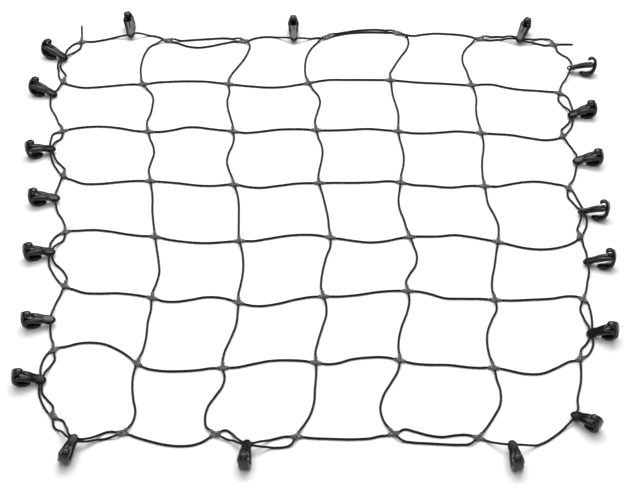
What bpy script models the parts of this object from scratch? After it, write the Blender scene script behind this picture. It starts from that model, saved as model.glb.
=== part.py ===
"""Elastic cargo net with hooks, lying spread out on the ground.

Metres, +Z up, +X across the net, +Y along it; the ground is Z = 0 and the origin is under
the middle of the net's box. One long elastic cord runs down and up the columns, round the
bottom right corner and back and forth along the rows. A metal clip holds the cord to itself
wherever a row crosses a column, and plastic hooks are threaded on the border.
The tables are in millimetres.
"""

import math

import bmesh
import bpy
import numpy as np
from mathutils import Matrix, Vector

MM = 0.001
CENTRE = (-13.7, -25.6)  # the middle of the net's box, in the tables' own millimetres

# ---------------------------------------------------------------- cord
CORD_RADIUS = 2.5
CORD_PINCH = 0.74  # how much of its radius the cord keeps inside a clip
CORD_SIDES = 1  # bevel resolution: six sides
CORD_GAP = 0.3  # between one run's end face and the next run's
PINCH_REACH = 12.5  # the cord is pinched this far each side of a crossing
STRAIGHT_REACH = 10.0  # and straight this far
PINCH_FADE = 4.5  # and is round again after this much more
PINCH_STOPS = (
    -PINCH_REACH - PINCH_FADE,
    -PINCH_REACH,
    PINCH_REACH,
    PINCH_REACH + PINCH_FADE,
)
CLIMB = 24.0  # length in which the cord comes down to the ground beside a clip
EYE_REACH = 7.0  # the cord runs straight this far each side of a hook's eye
EYE_SLANTS = (24.0, 12.0)  # a lone cord and a pair may pass it this far from square, degrees
EYE_CLIMB = 45.0  # length in which it comes down to the ground beside a hook, if not
EYE_FALL = 3.2  # more than this much for each millimetre that it comes down
CUT_AFTER_CLIP = 7.0  # one run of cord ends and the next begins this far past a crossing
LONGEST_STEP = 62.0  # between two points of a run's tube, where the cord is straight
WIDEST_TURN = math.radians(25.0)  # between two steps of it, where the cord bends
DENSE = 24  # fine steps between two stops, before they are thinned

# ---------------------------------------------------------------- clips
ROW_HEIGHT = 3.0  # height of the row's cord inside a clip
COLUMN_HEIGHT = 7.0  # height of the column's cord inside a clip, over the row's
CLIP_REACH = 12.0  # from the crossing to the end of an arm
CLIP_BORE = 2.15  # from the middle of the cord's channel to its flats
CLIP_ARM = 3.0  # from the middle of an arm to its flats
CLIP_HUB = 5.6  # radius of the hub round the crossing
CLIP_TOP = 9.8

# Each crossing: one line for each row, one place for each column, x and y.
CROSSINGS = (
    ((-606, 645.5), (-386.5, 652), (-194.5, 650), (15.5, 666.5), (196.5, 684.5), (406, 659.5), (591, 635)),
    ((-635, 481), (-438, 471.5), (-226, 472), (-29, 476), (174, 487.5), (373, 468), (586.5, 434)),
    ((-616.5, 287), (-411.5, 285.5), (-208.5, 286.5), (-9.5, 291.5), (186.5, 286.5), (384, 280), (578, 268)),
    ((-597, 122), (-393.5, 103.5), (-199.5, 91), (-3, 97), (186, 98.5), (379, 86), (572.5, 77)),
    ((-572, -73), (-369.5, -88), (-180.5, -102), (22.5, -90), (200, -88.5), (396, -105), (581, -89)),
    ((-554.5, -247), (-362.5, -284), (-176, -297.5), (6.7, -279), (189, -262), (375.7, -289.5), (566, -290)),
    ((-557.5, -440), (-379.5, -478.5), (-201.5, -491), (-9, -476), (165, -469), (358.5, -491), (541, -465)),
    ((-538, -625), (-395, -670), (-210, -673.5), (-47, -679.5), (145.5, -671.5), (315, -682.5)),
)

# Where each column's cord bends between one row and the next, and the hooks it threads.
COLUMNS = (
    (
        [(-606, 621), (-616, 607), "left_0", (-648, 537), (-641, 524), (-631, 504)],
        [(-646.5, 444), "left_1", (-657, 391), (-652, 372), (-640, 347), (-627, 313)],
        [(-615, 262.5), (-627, 245.5), "left_2", (-620, 177), (-606, 160), (-595, 139.5)],
        [(-603, 92), (-606, 58), "left_3", (-601, 8.5), (-597, -4), (-582, -32), (-575, -53)],
        [(-572, -97.5), (-583.5, -115), "left_4", (-584, -177), (-572, -189), (-559, -207), (-552, -227)],
        [(-560, -272.5), (-570, -310), "left_5", (-569.5, -389), (-567, -404), (-560, -423.5)],
        [(-552, -465), (-559, -486.5), "left_6", (-567, -563), (-555, -580), (-541, -600.5)],
    ),
    (
        [(-411, 642.5), (-430, 628), (-441, 600), (-447, 562), (-447.5, 530), (-444, 498.5)],
        [(-427, 451.5), (-416, 437), (-408.5, 415), (-408, 390), (-410.5, 355), (-417, 320)],
        [(-405, 258), (-396, 232), (-392, 203), (-396, 176), (-400, 145)],
        [(-388, 72), (-384, 40), (-382.5, 10), (-378, -30), (-373, -64)],
        [(-364, -122), (-356, -170), (-352.5, -203), (-356, -235), (-361, -260)],
        [(-362.5, -315), (-366.5, -355), (-367, -405), (-371, -440)],
        [(-385.5, -510), (-385, -543), (-380, -580), (-373.5, -615), (-380, -649.5)],
    ),
    (
        [(-178.5, 630.5), (-181, 610), (-190, 578), (-207, 540), (-222, 506)],
        [(-223, 443.5), (-227, 405), (-224.5, 378), (-217, 341), (-210.5, 310)],
        [(-205.5, 259.5), (-208, 237), (-217, 200), (-219, 175), (-213, 144), (-205, 116.5)],
        [(-191, 60), (-186, 20), (-184.5, -20), (-183, -70)],
        [(-175, -127.5), (-170, -165), (-169.5, -205), (-173.5, -245), (-177, -274)],
        [(-176.5, -326.5), (-178.5, -363), (-190, -410), (-201, -450)],
        [(-197, -518), (-200, -540), (-214, -570), (-228, -600), (-232, -630), (-226, -658.5)],
    ),
    (
        [(-8, 643), (-24, 616), (-34, 585), (-38, 540), (-36, 504)],
        [(-18, 449.5), (-6, 428), (-0.5, 402), (-6, 365), (-12, 333), (-12.5, 312.5)],
        [(-5, 264), (2, 240), (5.5, 212), (3, 180), (-2, 145), (-4.5, 120)],
        [(3.5, 65), (10.5, 25), (17.5, -25), (20.5, -68.5)],
        [(22.5, -118), (14, -150), (6.5, -190), (2, -230), (2, -257.5)],
        [(12.5, -307), (13, -330), (4.5, -372), (-5, -415), (-10.5, -452)],
        [(-8.5, -506), (-11, -550), (-12.5, -585), (-22, -625), (-37, -657)],
    ),
    (
        [(220, 668), (224, 650), (219, 620), (200, 580), (182, 537.5), (172.5, 509.5)],
        [(175.5, 460), (178, 425), (183, 395), (188.5, 358), (187.5, 313.5)],
        [(188.5, 259.5), (193.5, 228), (196.5, 190), (193.5, 155), (187.5, 122)],
        [(182.5, 70), (179, 38), (181, 5), (189, -30), (195, -66.5)],
        [(207, -116), (213.5, -150), (209, -182), (195, -210), (186, -238)],
        [(191.5, -290), (186, -325), (172, -372), (164.5, -415), (164, -445)],
        [(161, -497), (146, -531), (129, -567), (121.5, -605), (126, -633), (135, -655)],
    ),
    (
        [(384, 640), (369, 619), (358, 590), (357, 562), (365, 522), (369, 492)],
        [(379, 441), (381.5, 415), (378, 375), (378, 345), (382, 304)],
        [(387.5, 249), (386, 222), (380, 180), (377.3, 135), (377.5, 110)],
        [(381, 55), (383, 25), (394, -14), (401, -50), (399.5, -79.5)],
        [(391, -133.5), (383, -182), (374, -230), (372.5, -263.5)],
        [(378, -315.5), (366, -348), (353.5, -386), (350.5, -430), (354.5, -467)],
        [(362, -519), (368, -556), (364, -595), (350, -625), (331, -659)],
    ),
    (
        [(597, 609.5), (607, 594), (621, 580), (628, 558.5), "right_0", (610, 491), (600, 478),
         (591.5, 455.5)],
        [(581, 408.5), (588, 390), "right_1", (596.5, 316), (587, 304), (577, 289.5)],
        [(586, 243.5), (596, 220), "right_2", (595.5, 141), (591, 122), (581, 96.5)],
        [(567.5, 49), (576, 29.5), (584, 12.5), "right_3", (588, -33), (584.5, -45), (579, -57),
         (576.5, -69)],
        [(585, -115), (589, -141), "right_4", (586, -215.5), (583, -226), (575, -263)],
        [(557, -315.5), (561, -345), "right_5", (559, -421), (546, -438)],
        [(539, -496), (535, -530), (524, -573), "right_6", (491.5, -654.5), (470, -675), (446, -694),
         (419, -706.5), "bottom_2", (343, -699.5)],
    ),
)

# Where each row's cord bends between one column and the next, and the hooks it threads.
ROWS = (
    (
        [(-583, 648), (-550, 656), (-520, 665.5), "top_0", (-444, 674), (-425, 673), (-407, 665)],
        [(-364, 643), (-337, 629), (-308, 623.5), (-280, 629), (-245, 641), (-217, 648.5)],
        [(-169, 661.5), (-145, 668.5), (-108, 666), "top_1", (-30, 659), (-10, 664)],
        [(38, 674), (54, 680), (72, 684.6), (100, 688), (140, 689), (172, 687.3)],
        [(219, 677.5), (236, 674), (262, 679.5), (295, 684), (325, 682), (355, 678), (383, 670)],
        [(429, 654), (451, 656.5), (473, 653), "top_2", (529, 639.5), (544, 640.5), (557, 637), (570, 632)],
    ),
    (
        [(-610, 465), (-582, 457.5), (-555, 459), (-510, 465.5), (-462, 471)],
        [(-410, 477.5), (-370, 482), (-320, 484), (-275, 481.5), (-250, 476.5)],
        [(-200, 467.5), (-165, 462.5), (-125, 458.5), (-90, 461), (-55, 469.5)],
        [(-5, 483.5), (20, 489), (60, 489.5), (120, 489.5), (150, 489)],
        [(200, 484.5), (245, 478.5), (300, 474.5), (347, 469.5)],
        [(400, 470.5), (425, 470), (455, 459), (490, 450), (540, 444.5), (562, 441)],
    ),
    (
        [(-590, 297.5), (-560, 303.5), (-520, 305), (-480, 299), (-438, 288)],
        [(-385, 285), (-352, 292), (-322, 302), (-300, 303), (-262, 296), (-233, 291)],
        [(-184, 281.5), (-150, 284.5), (-110, 292.5), (-75, 295.5), (-35, 294.5)],
        [(18, 290.5), (65, 293), (115, 296.5), (160, 291)],
        [(212, 281.5), (245, 279.5), (290, 283), (325, 287), (358, 284)],
        [(410, 277.5), (455, 273), (500, 261), (535, 254), (556, 256.5)],
    ),
    (
        [(-575, 108), (-548, 95), (-515, 94), (-460, 101.5), (-420, 105)],
        [(-368, 101.5), (-325, 96), (-280, 88.5), (-245, 87.5), (-224, 90)],
        [(-175, 85.5), (-140, 80.5), (-100, 87), (-50, 96), (-28, 97)],
        [(24, 98), (90, 98.5), (130, 101), (160, 104)],
        [(210, 91.5), (250, 87.5), (298, 81.5), (352, 87.5)],
        [(404, 84.5), (435, 92), (470, 100.5), (505, 102), (542, 93.5)],
    ),
    (
        [(-547, -67.5), (-510, -64.5), (-475, -69), (-430, -79.5), (-396, -85)],
        [(-345, -95), (-305, -103.5), (-262, -108), (-207, -104)],
        [(-155, -102), (-115, -93.5), (-75, -84), (-40, -80.5), (-4, -83)],
        [(47, -95), (80, -102), (108, -106), (145, -102), (175, -93)],
        [(226, -86.5), (265, -86), (300, -81.5), (335, -87.5), (370, -97)],
        [(420, -113), (455, -124.5), (490, -129), (530, -123), (561, -109)],
    ),
    (
        [(-535, -257), (-512, -267), (-480, -269.5), (-440, -268.5), (-388, -276.5)],
        [(-342, -292), (-315, -295), (-280, -289), (-248, -281), (-215, -282.5), (-196, -288.5)],
        [(-152, -306), (-128, -308), (-95, -302), (-50, -287), (-18, -280)],
        [(31, -279), (80, -274), (125, -264.5), (163, -261)],
        [(214, -264), (240, -272), (265, -283), (305, -285.5), (350, -286.5)],
        [(400, -291), (455, -288.5), (505, -284), (528, -278.5), (543, -278)],
    ),
    (
        [(-535, -430), (-505, -419.5), (-482, -417.5), (-455, -421.5), (-425, -437.5), (-397, -461)],
        [(-362, -491), (-335, -498), (-285, -499.5), (-250, -496), (-226, -491.5)],
        [(-177, -489.5), (-140, -479.5), (-105, -470.5), (-65, -468.5), (-32, -471)],
        [(14, -480), (34, -477.5), (65, -466), (100, -460.5), (140, -461)],
        [(188, -476.5), (220, -481), (265, -482), (310, -489), (333, -490.5)],
        [(384, -496), (425, -507.5), (455, -507), (490, -490), (520, -472)],
    ),
    (
        [(-518.5, -636), (-511, -650), (-504.5, -668), "bottom_0", (-461, -692), (-446, -680), (-426, -667)],
        [(-370, -679), (-340, -690.5), (-308, -700), (-278, -703.5), (-250, -700), (-229, -689)],
        [(-190, -662), (-176, -672), (-166, -690), "bottom_1", (-115, -697), (-102, -689),
         (-88, -684), (-71, -679)],
        [(-22, -682), (20, -684.5), (70, -685.5), (100, -683), (121, -677)],
        [(166, -660), (190, -666), (215, -675), (243, -679.5), (270, -675), (291, -674)],
    ),
)

# The outer strand where the cord turns from one line to the next, and the hooks it threads.
TURNS = {
    ("left", 0): [(-625, 636), (-638, 615), "left_0", (-655, 541), (-651.5, 525), (-648, 502)],
    ("left", 2): [(-636, 277), (-640.5, 254), "left_2", (-629, 175), (-623, 161.5), (-612, 141)],
    ("left", 4): [(-589.5, -85), (-599, -105), "left_4", (-595, -185), (-588, -200), (-572, -229)],
    ("left", 6): [(-572, -457), (-578.5, -487), "left_6", (-573.5, -564), (-565, -588), (-554, -609)],
    ("right", 1): [(604, 419), (609, 396), "right_1", (605.5, 312), (601, 299.5), (592, 284)],
    ("right", 3): [(584, 57), (589, 37), (594, 17), "right_3", (600, -38), (599.5, -51), (594, -66)],
    ("right", 5): [(577, -316), (578, -346), "right_5", (572, -425.5), (566, -441), (558, -454)],
    ("top", 1): [(-362, 652.5), (-320, 656.5), (-280, 660.5), (-245, 663.5), (-216, 659)],
    ("top", 3): [(36, 680), (52, 686), (70, 691), (90, 695.8), (117, 699.5), (145, 700.5), (174, 695)],
    ("top", 5): [(433, 668), (453, 670), (475, 666), "top_2", (530, 651), (545, 656), (566, 660),
                 (581, 653.5)],
    ("bottom", 0): [(-534.5, -651), (-517, -671), "bottom_0", (-464, -701), (-447, -691), (-423.5, -683.5)],
    ("bottom", 2): [(-191, -685.5), (-176, -693), "bottom_1", (-118, -714), (-104, -709.5), (-88, -708),
                    (-72, -706.5), (-57, -700.5)],
    ("bottom", 4): [(161, -689), (180, -693.5), (215, -696.5), (250, -699), (280, -700), (300, -698)],
}

FIRST_TAIL = [(-613, 719), (-610, 692)]  # the cord's free end past the top left crossing
LAST_TAIL = [(617, 637), (641, 637)]  # and past the top right one

# ---------------------------------------------------------------- hooks
# x and y of the eye; heading of the shank from +X, its climb, and its roll about itself, degrees.
HOOKS = {
    "left_0": (-642, 571, 155, 16, 12),
    "left_1": (-653, 425, 167, 19, 6),
    "left_2": (-633, 209, 199, 12, 3),
    "left_3": (-604, 32, 189, 12, -7),
    "left_4": (-595, -147, 195, 14, -4),
    "left_5": (-571, -362, 190, 10, -12),
    "left_6": (-572, -530, 189, 19, -12),
    "right_0": (623, 523, -10, 10, -22),
    "right_1": (606, 342, 5, 18, 5),
    "right_2": (600, 167, -2, 16, 12),
    "right_3": (593, -12, -15, 16, -20),
    "right_4": (587, -177, -9, 16, -15),
    "right_5": (570, -395, -15, 25, 12),
    "right_6": (511, -632, -40, 13, 15),
    "top_0": (-482, 665, 99, 11, -12),
    "top_1": (-67, 649, 92, 9, 0),
    "top_2": (505, 643.5, 68, 11, 15),
    "bottom_0": (-487, -699.5, -105, 0, -15),
    "bottom_1": (-145, -710.5, -94, 3, 3),
    "bottom_2": (378, -714, -83, 1, 5),
}
HOOK_SINK = 0.5  # this much is cut off under each hook, so that it stands on a flat
EYE_SLOT = (16.4, 6.2)  # the eye's length along the shank and its height
EYE_SEAT = 2.95  # how far each of two cords lies from the middle of the eye
SECTION_CHAMFER = 2.6

# The hook's own shape from its eye: x along the shank, z to the small prong, width, thickness.
SHANK = (
    (-10.5, 0.0, 9.0, 6.0),
    (-8.6, 0.0, 13.0, 9.0),
    (0.0, 0.0, 19.5, 10.0),
    (8.0, 0.4, 20.5, 9.8),
    (20.0, 2.5, 23.0, 9.4),
    (33.0, 3.6, 26.5, 9.2),
    (46.0, 3.8, 30.0, 9.2),
    (57.0, 3.6, 27.0, 9.0),
)
ANCHOR = (
    (43.5, 14.8, 10.0, 4.4),
    (45.5, 18.8, 13.0, 5.4),
    (51.5, 20.6, 17.0, 5.8),
    (57.4, 16.4, 21.5, 6.4),
    (59.3, 6.2, 24.5, 7.4),
    (57.4, -4.0, 25.5, 7.8),
    (51.8, -11.8, 27.5, 7.8),
    (43.5, -15.4, 25.0, 8.8),
    (33.0, -15.6, 21.0, 8.8),
    (24.0, -12.4, 14.0, 5.4),
)

# ---------------------------------------------------------------- materials
# Base colour, roughness, metallic.
FINISHES = {
    "cord_black": ((0.018, 0.018, 0.019), 0.75, 0.0),
    "hook_plastic": ((0.022, 0.023, 0.026), 0.3, 0.0),
    "clip_metal": ((0.2, 0.2, 0.21), 0.4, 0.85),
}


def clear_scene():
    for thing in list(bpy.data.objects):
        bpy.data.objects.remove(thing, do_unlink=True)


def finish(name):
    colour, roughness, metallic = FINISHES[name]
    material = bpy.data.materials.new(name)
    material.use_nodes = True
    shader = material.node_tree.nodes["Principled BSDF"]
    shader.inputs["Base Color"].default_value = (*colour, 1.0)
    shader.inputs["Roughness"].default_value = roughness
    shader.inputs["Metallic"].default_value = metallic
    material.diffuse_color = (*colour, 1.0)
    return material


def place(point):
    """A table's point in metres, measured from the net's middle."""
    return (np.asarray(point, float) - CENTRE) * MM


# ---------------------------------------------------------------- hooks


def strip_rings(table):
    """Six corners round each of the table's places, square to the strip's run in its XZ plane."""
    x, z, width, thick = np.array(table, float).T * MM
    run = np.gradient(np.stack([x, z], axis=1), axis=0)
    run /= np.linalg.norm(run, axis=1, keepdims=True)
    across = np.stack([-run[:, 1], run[:, 0]], axis=1)
    half = width / 2
    side = half - SECTION_CHAMFER * MM
    rings = []
    for y, lift in ((half, 0), (side, 0.5), (-side, 0.5), (-half, 0), (-side, -0.5), (side, -0.5)):
        height = thick * lift
        rings.append(np.stack([x + across[:, 0] * height, y, z + across[:, 1] * height], axis=1))
    return np.stack(rings, axis=1)


def strip_mesh(name, table):
    """A closed strip through the table's sections."""
    rings = strip_rings(table)
    shape = bmesh.new()
    loops = [[shape.verts.new(corner) for corner in ring] for ring in rings]
    for low, high in zip(loops, loops[1:]):
        for i in range(len(low)):
            j = (i + 1) % len(low)
            shape.faces.new((low[i], low[j], high[j], high[i]))
    shape.faces.new(loops[0])
    shape.faces.new(reversed(loops[-1]))
    bmesh.ops.recalc_face_normals(shape, faces=shape.faces)
    return from_bmesh(name, shape)


def from_bmesh(name, shape):
    mesh = bpy.data.meshes.new(name)
    shape.to_mesh(mesh)
    shape.free()
    thing = bpy.data.objects.new(name, mesh)
    bpy.context.scene.collection.objects.link(thing)
    return thing


def combine(base, others, operation):
    """The base object's mesh joined with, or cut by, the others, which are then removed."""
    for other in others:
        step = base.modifiers.new(operation.title(), "BOOLEAN")
        step.operation = operation
        step.object = other
    bpy.context.view_layer.update()
    evaluated = base.evaluated_get(bpy.context.evaluated_depsgraph_get())
    mesh = bpy.data.meshes.new_from_object(evaluated)
    base.modifiers.clear()
    base.data = mesh
    for other in others:
        bpy.data.objects.remove(other, do_unlink=True)
    return base


def block(name, low, high):
    """A closed box between two corners."""
    shape = bmesh.new()
    bmesh.ops.create_cube(shape, size=1.0)
    low, high = Vector(low), Vector(high)
    for corner in shape.verts:
        corner.co = Vector(low[i] + (corner.co[i] + 0.5) * (high[i] - low[i]) for i in range(3))
    return from_bmesh(name, shape)


def hook_mesh():
    """One hook: the shank with its eye, and the strip of the two prongs across its far end."""
    hook = strip_mesh("hook", SHANK)
    combine(hook, [strip_mesh("anchor", ANCHOR)], "UNION")
    length, height = (size * MM / 2 for size in EYE_SLOT)
    slot = block("slot", (-length, -0.02, -height), (length, 0.02, height))
    combine(hook, [slot], "DIFFERENCE")
    mesh = hook.data
    bpy.data.objects.remove(hook, do_unlink=True)
    return mesh


def hook_turn(name):
    """The hook's rotation: heading about Z, then climb, then roll about its own shank."""
    heading, climb, roll = (math.radians(angle) for angle in HOOKS[name][2:])
    turn = Matrix.Rotation(heading, 4, "Z")
    return turn @ Matrix.Rotation(-climb, 4, "Y") @ Matrix.Rotation(roll, 4, "X")


def seat_hooks(mesh):
    """Each hook's place, as a matrix that sets its lowest HOOK_SINK under the ground."""
    places = {}
    corners = [corner.co for corner in mesh.vertices]
    for name, row in HOOKS.items():
        turn = hook_turn(name)
        height = -min((turn @ corner).z for corner in corners) - HOOK_SINK * MM
        x, y = place(row[:2])
        places[name] = Matrix.Translation((x, y, height)) @ turn
    return places


def add_hook(name, mesh, matrix, material):
    """One hook in its place, with what lies under the ground cut off flat."""
    shape = bmesh.new()
    shape.from_mesh(mesh)
    bmesh.ops.transform(shape, matrix=matrix, verts=shape.verts)
    everything = [*shape.verts, *shape.edges, *shape.faces]
    bmesh.ops.bisect_plane(
        shape, geom=everything, plane_co=(0, 0, 0), plane_no=(0, 0, 1), clear_inner=True
    )
    bmesh.ops.holes_fill(shape, edges=[edge for edge in shape.edges if edge.is_boundary])
    bmesh.ops.recalc_face_normals(shape, faces=shape.faces)
    from_bmesh(name, shape).data.materials.append(material)


# ---------------------------------------------------------------- the cord's route


def turn_hooks():
    return {stop for strand in TURNS.values() for stop in strand if isinstance(stop, str)}


def strand_stops(strand, seat, backwards=False):
    """Stops for the bends and hooks between two crossings. A lone cord sits mid-eye."""
    shared = turn_hooks()
    stops = []
    for stop in reversed(strand) if backwards else strand:
        if isinstance(stop, str):
            stops.append(("eye", stop, seat if stop in shared else 0))
        else:
            stops.append(("bend", *stop))
    return stops


def line_stops(table, crossing, last, backwards):
    """Stops along one row or column. crossing(i) gives the i-th clip's row and column."""
    clips = [("clip", *crossing(i)) for i in range(last + 1)]
    if backwards:
        stops = [clips[last]]
        for i in reversed(range(last)):
            stops += strand_stops(table[i], -1, backwards=True) + [clips[i]]
        return stops
    stops = [clips[0]]
    for i in range(last):
        stops += strand_stops(table[i], -1) + [clips[i + 1]]
    return stops


def column_stops(column, upwards):
    last = 6 if column == 6 else 7
    return line_stops(COLUMNS[column], lambda i: (i, column, "column"), last, upwards)


def row_stops(row, leftwards):
    last = 5 if row == 7 else 6
    return line_stops(ROWS[row], lambda i: (row, i, "row"), last, leftwards)


def cord_runs():
    """The cord from end to end: each run's name and stops, in the order the cord follows."""
    runs = [("cord_column_0", strand_stops(FIRST_TAIL, 0) + column_stops(0, upwards=False))]
    for column in range(1, 7):
        upwards = column % 2 == 1
        side = "bottom" if upwards else "top"
        turn = strand_stops(TURNS[side, column - 1], 1)
        runs.append((f"cord_column_{column}", turn + column_stops(column, upwards)))
    corner = strand_stops(COLUMNS[6][6], 0)
    runs.append(("cord_row_7", corner + row_stops(7, leftwards=True)))
    for row in range(6, -1, -1):
        leftwards = row % 2 == 1
        side = "right" if leftwards else "left"
        turn = strand_stops(TURNS[side, row], 1, backwards=True)
        runs.append((f"cord_row_{row}", turn + row_stops(row, leftwards)))
    name, stops = runs[-1]
    runs[-1] = (name, stops + strand_stops(LAST_TAIL, 0))
    return runs


def unit(vector):
    return vector / np.linalg.norm(vector)


def stop_place(stop, hooks):
    """A stop's point on the ground plan, in metres."""
    if stop[0] == "bend":
        return place(stop[1:])
    if stop[0] == "clip":
        return place(CROSSINGS[stop[1]][stop[2]])
    seat = hooks[stop[1]] @ Vector((stop[2] * EYE_SEAT * MM, 0, 0))
    return np.array(seat)[:2]


def plan_stations(stops, hooks):
    """Points and directions for the smooth plan curve, and where each clip and eye stands.

    A clip or an eye gives two stations, one each side of it, with the same direction.
    """
    middles = np.array([stop_place(stop, hooks) for stop in stops])
    through = eye_directions(stops, middles, hooks)
    points, directions, marks = [], [], []
    for i, stop in enumerate(stops):
        if stop[0] == "bend":
            points.append(middles[i])
            directions.append(None)
            continue
        towards = bend_direction(middles, i)
        reach = STRAIGHT_REACH
        if stop[0] == "eye":
            reach = EYE_REACH
            towards = through[stop[1]] * np.sign(through[stop[1]] @ towards)
        marks.append((len(points), stop, towards))
        for side in (-1, 1):
            points.append(middles[i] + side * reach * MM * towards)
            directions.append(towards)
    points = np.array(points)
    for i, direction in enumerate(directions):
        if direction is None:
            directions[i] = bend_direction(points, i)
    return points, np.array(directions), marks


def eye_directions(stops, middles, hooks):
    """For each hook the line of its cord through the eye: the mean of what its strands want, but
    no further than EYE_SLANTS from square across the shank, because the slot is narrow.
    """
    wanted = {}
    for i, stop in enumerate(stops):
        if stop[0] == "eye":
            across = unit(np.array(hooks[stop[1]])[:2, 1])
            towards = bend_direction(middles, i)
            wanted.setdefault(stop[1], []).append(towards * np.sign(towards @ across))
    lines = {}
    for name, strands in wanted.items():
        across = unit(np.array(hooks[name])[:2, 1])
        left = np.array([-across[1], across[0]])
        towards = sum(strands)
        most = math.radians(EYE_SLANTS[len(strands) - 1])
        angle = np.clip(math.atan2(left @ towards, across @ towards), -most, most)
        lines[name] = across * math.cos(angle) + left * math.sin(angle)
    return lines


def bend_direction(points, i):
    """The curve's direction at a bend, from the steps before and after it; the nearer counts more."""
    if i == 0 or i == len(points) - 1:
        j = min(i, len(points) - 2)
        return unit(points[j + 1] - points[j])
    before, after = points[i] - points[i - 1], points[i + 1] - points[i]
    near, far = np.linalg.norm(before), np.linalg.norm(after)
    return unit(before * far / near + after * near / far)


def smooth_plan(points, directions):
    """Cubic curve through the stations, DENSE fine steps to each, and its running length."""
    t = np.arange(DENSE) / DENSE
    weights = (2 * t**3 - 3 * t**2 + 1, t**3 - 2 * t**2 + t, 3 * t**2 - 2 * t**3, t**3 - t**2)
    span = np.linalg.norm(np.diff(points, axis=0), axis=1)[:, None, None]
    ends = (
        points[:-1, None],
        directions[:-1, None] * span,
        points[1:, None],
        directions[1:, None] * span,
    )
    curve = sum(weight[None, :, None] * end for weight, end in zip(weights, ends))
    plan = np.concatenate([curve.reshape(-1, 2), points[-1:]])
    steps = np.linalg.norm(np.diff(plan, axis=0), axis=1)
    return plan, np.concatenate([[0.0], np.cumsum(steps)])


def fade(distance, length):
    """1 at no distance, 0 from the length onwards, smooth at both ends."""
    t = np.clip(distance / length, 0.0, 1.0)
    return 1 - t * t * (3 - 2 * t)


def eye_hump(along, height, slope, reach, climb):
    """Height over the ground beside an eye: straight within reach, then a cubic down to 0."""
    inside = height + slope * along
    side = np.sign(along)
    t = np.clip((np.abs(along) - reach) / climb, 0.0, 1.0)
    start, rise = height + slope * side * reach, slope * side * climb
    outside = start * (2 * t**3 - 3 * t**2 + 1) + rise * (t**3 - 2 * t**2 + t)
    return np.where(np.abs(along) < reach, inside, outside)


def cord_path(hooks):
    """The whole cord: points, share of its full radius, running length, the runs' cuts, and
    the lengths at which a tube must have a point.
    """
    stops, cuts = [], []
    for _, run in cord_runs():
        stops += run
        last = max(i for i, stop in enumerate(stops) if stop[0] == "clip")
        cuts.append(stops[last])
    points, directions, marks = plan_stations(stops, hooks)
    plan, length = smooth_plan(points, directions)
    height = np.full(len(length), CORD_RADIUS * MM)
    share = np.ones(len(length))
    cut_lengths, kept = [], []
    for station, stop, towards in marks:
        middle = (length[station * DENSE] + length[(station + 1) * DENSE]) / 2
        away = np.abs(length - middle)
        if stop[0] == "clip":
            level = ROW_HEIGHT if stop[3] == "row" else COLUMN_HEIGHT
            height += (level - CORD_RADIUS) * MM * fade(away - PINCH_REACH * MM, CLIMB * MM)
            share -= (1 - CORD_PINCH) * fade(away - PINCH_REACH * MM, PINCH_FADE * MM)
            kept += [middle + reach * MM for reach in PINCH_STOPS]
            if any(stop is cut for cut in cuts[:-1]):
                cut_lengths.append(middle + CUT_AFTER_CLIP * MM)
            continue
        turn = np.array(hooks[stop[1]])
        slope = turn[2, :2] @ np.linalg.solve(turn[:2, :2], towards)
        seat = turn[2, 3] + turn[2, 0] * stop[2] * EYE_SEAT * MM - CORD_RADIUS * MM
        climb = max(EYE_CLIMB * MM, EYE_FALL * seat)
        height += eye_hump(length - middle, seat, slope, EYE_REACH * MM, climb)
        kept += [middle - EYE_REACH * MM, middle + EYE_REACH * MM]
    return np.column_stack([plan, height]), share, length, cut_lengths, kept


def thin_out(path, length, kept):
    """The running lengths that a tube needs: those kept, and more where the cord bends.

    need rises by 1 for each LONGEST_STEP of length and by 1 for each WIDEST_TURN of bending
    on the ground plan.
    """
    steps = np.diff(path[:, :2], axis=0)
    steps /= np.linalg.norm(steps, axis=1, keepdims=True)
    bend = np.arccos(np.clip(np.sum(steps[:-1] * steps[1:], axis=1), -1.0, 1.0))
    bent = np.concatenate([[0.0], np.cumsum(bend), [bend.sum()]])
    need = length / (LONGEST_STEP * MM) + bent / WIDEST_TURN
    at = []
    for low, high in zip(kept, kept[1:]):
        first, last = np.interp((low, high), length, need)
        count = max(1, round(last - first))
        at += list(np.interp(np.linspace(first, last, count + 1)[:-1], need, length))
    return np.array(at + [kept[-1]])


def tube(name, path, share, material):
    """A six-sided tube along the points, as a curve with a bevel and filled ends."""
    curve = bpy.data.curves.new(name, "CURVE")
    curve.dimensions = "3D"
    curve.twist_mode = "Z_UP"
    curve.bevel_depth = CORD_RADIUS * MM
    curve.bevel_resolution = CORD_SIDES
    curve.use_fill_caps = True
    spline = curve.splines.new("POLY")
    spline.points.add(len(path) - 1)
    spline.points.foreach_set("co", np.column_stack([path, np.ones(len(path))]).ravel())
    spline.points.foreach_set("radius", share)
    curve.materials.append(material)
    thing = bpy.data.objects.new(name, curve)
    bpy.context.scene.collection.objects.link(thing)
    return thing


def add_cord(hooks, material):
    """One tube for each run."""
    path, share, length, cuts, kept = cord_path(hooks)
    edges = [0.0, *cuts, length[-1]]
    for i, (name, _) in enumerate(cord_runs()):
        first = edges[i] + (CORD_GAP / 2 * MM if i else 0.0)
        last = edges[i + 1] - (CORD_GAP / 2 * MM if i + 2 < len(edges) else 0.0)
        inside = [at for at in sorted(kept) if first + MM < at < last - MM]
        at = thin_out(path, length, [first, *inside, last])
        points = np.column_stack([np.interp(at, length, path[:, k]) for k in range(3)])
        tube(name, points, np.interp(at, length, share), material)


# ---------------------------------------------------------------- clips


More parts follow.
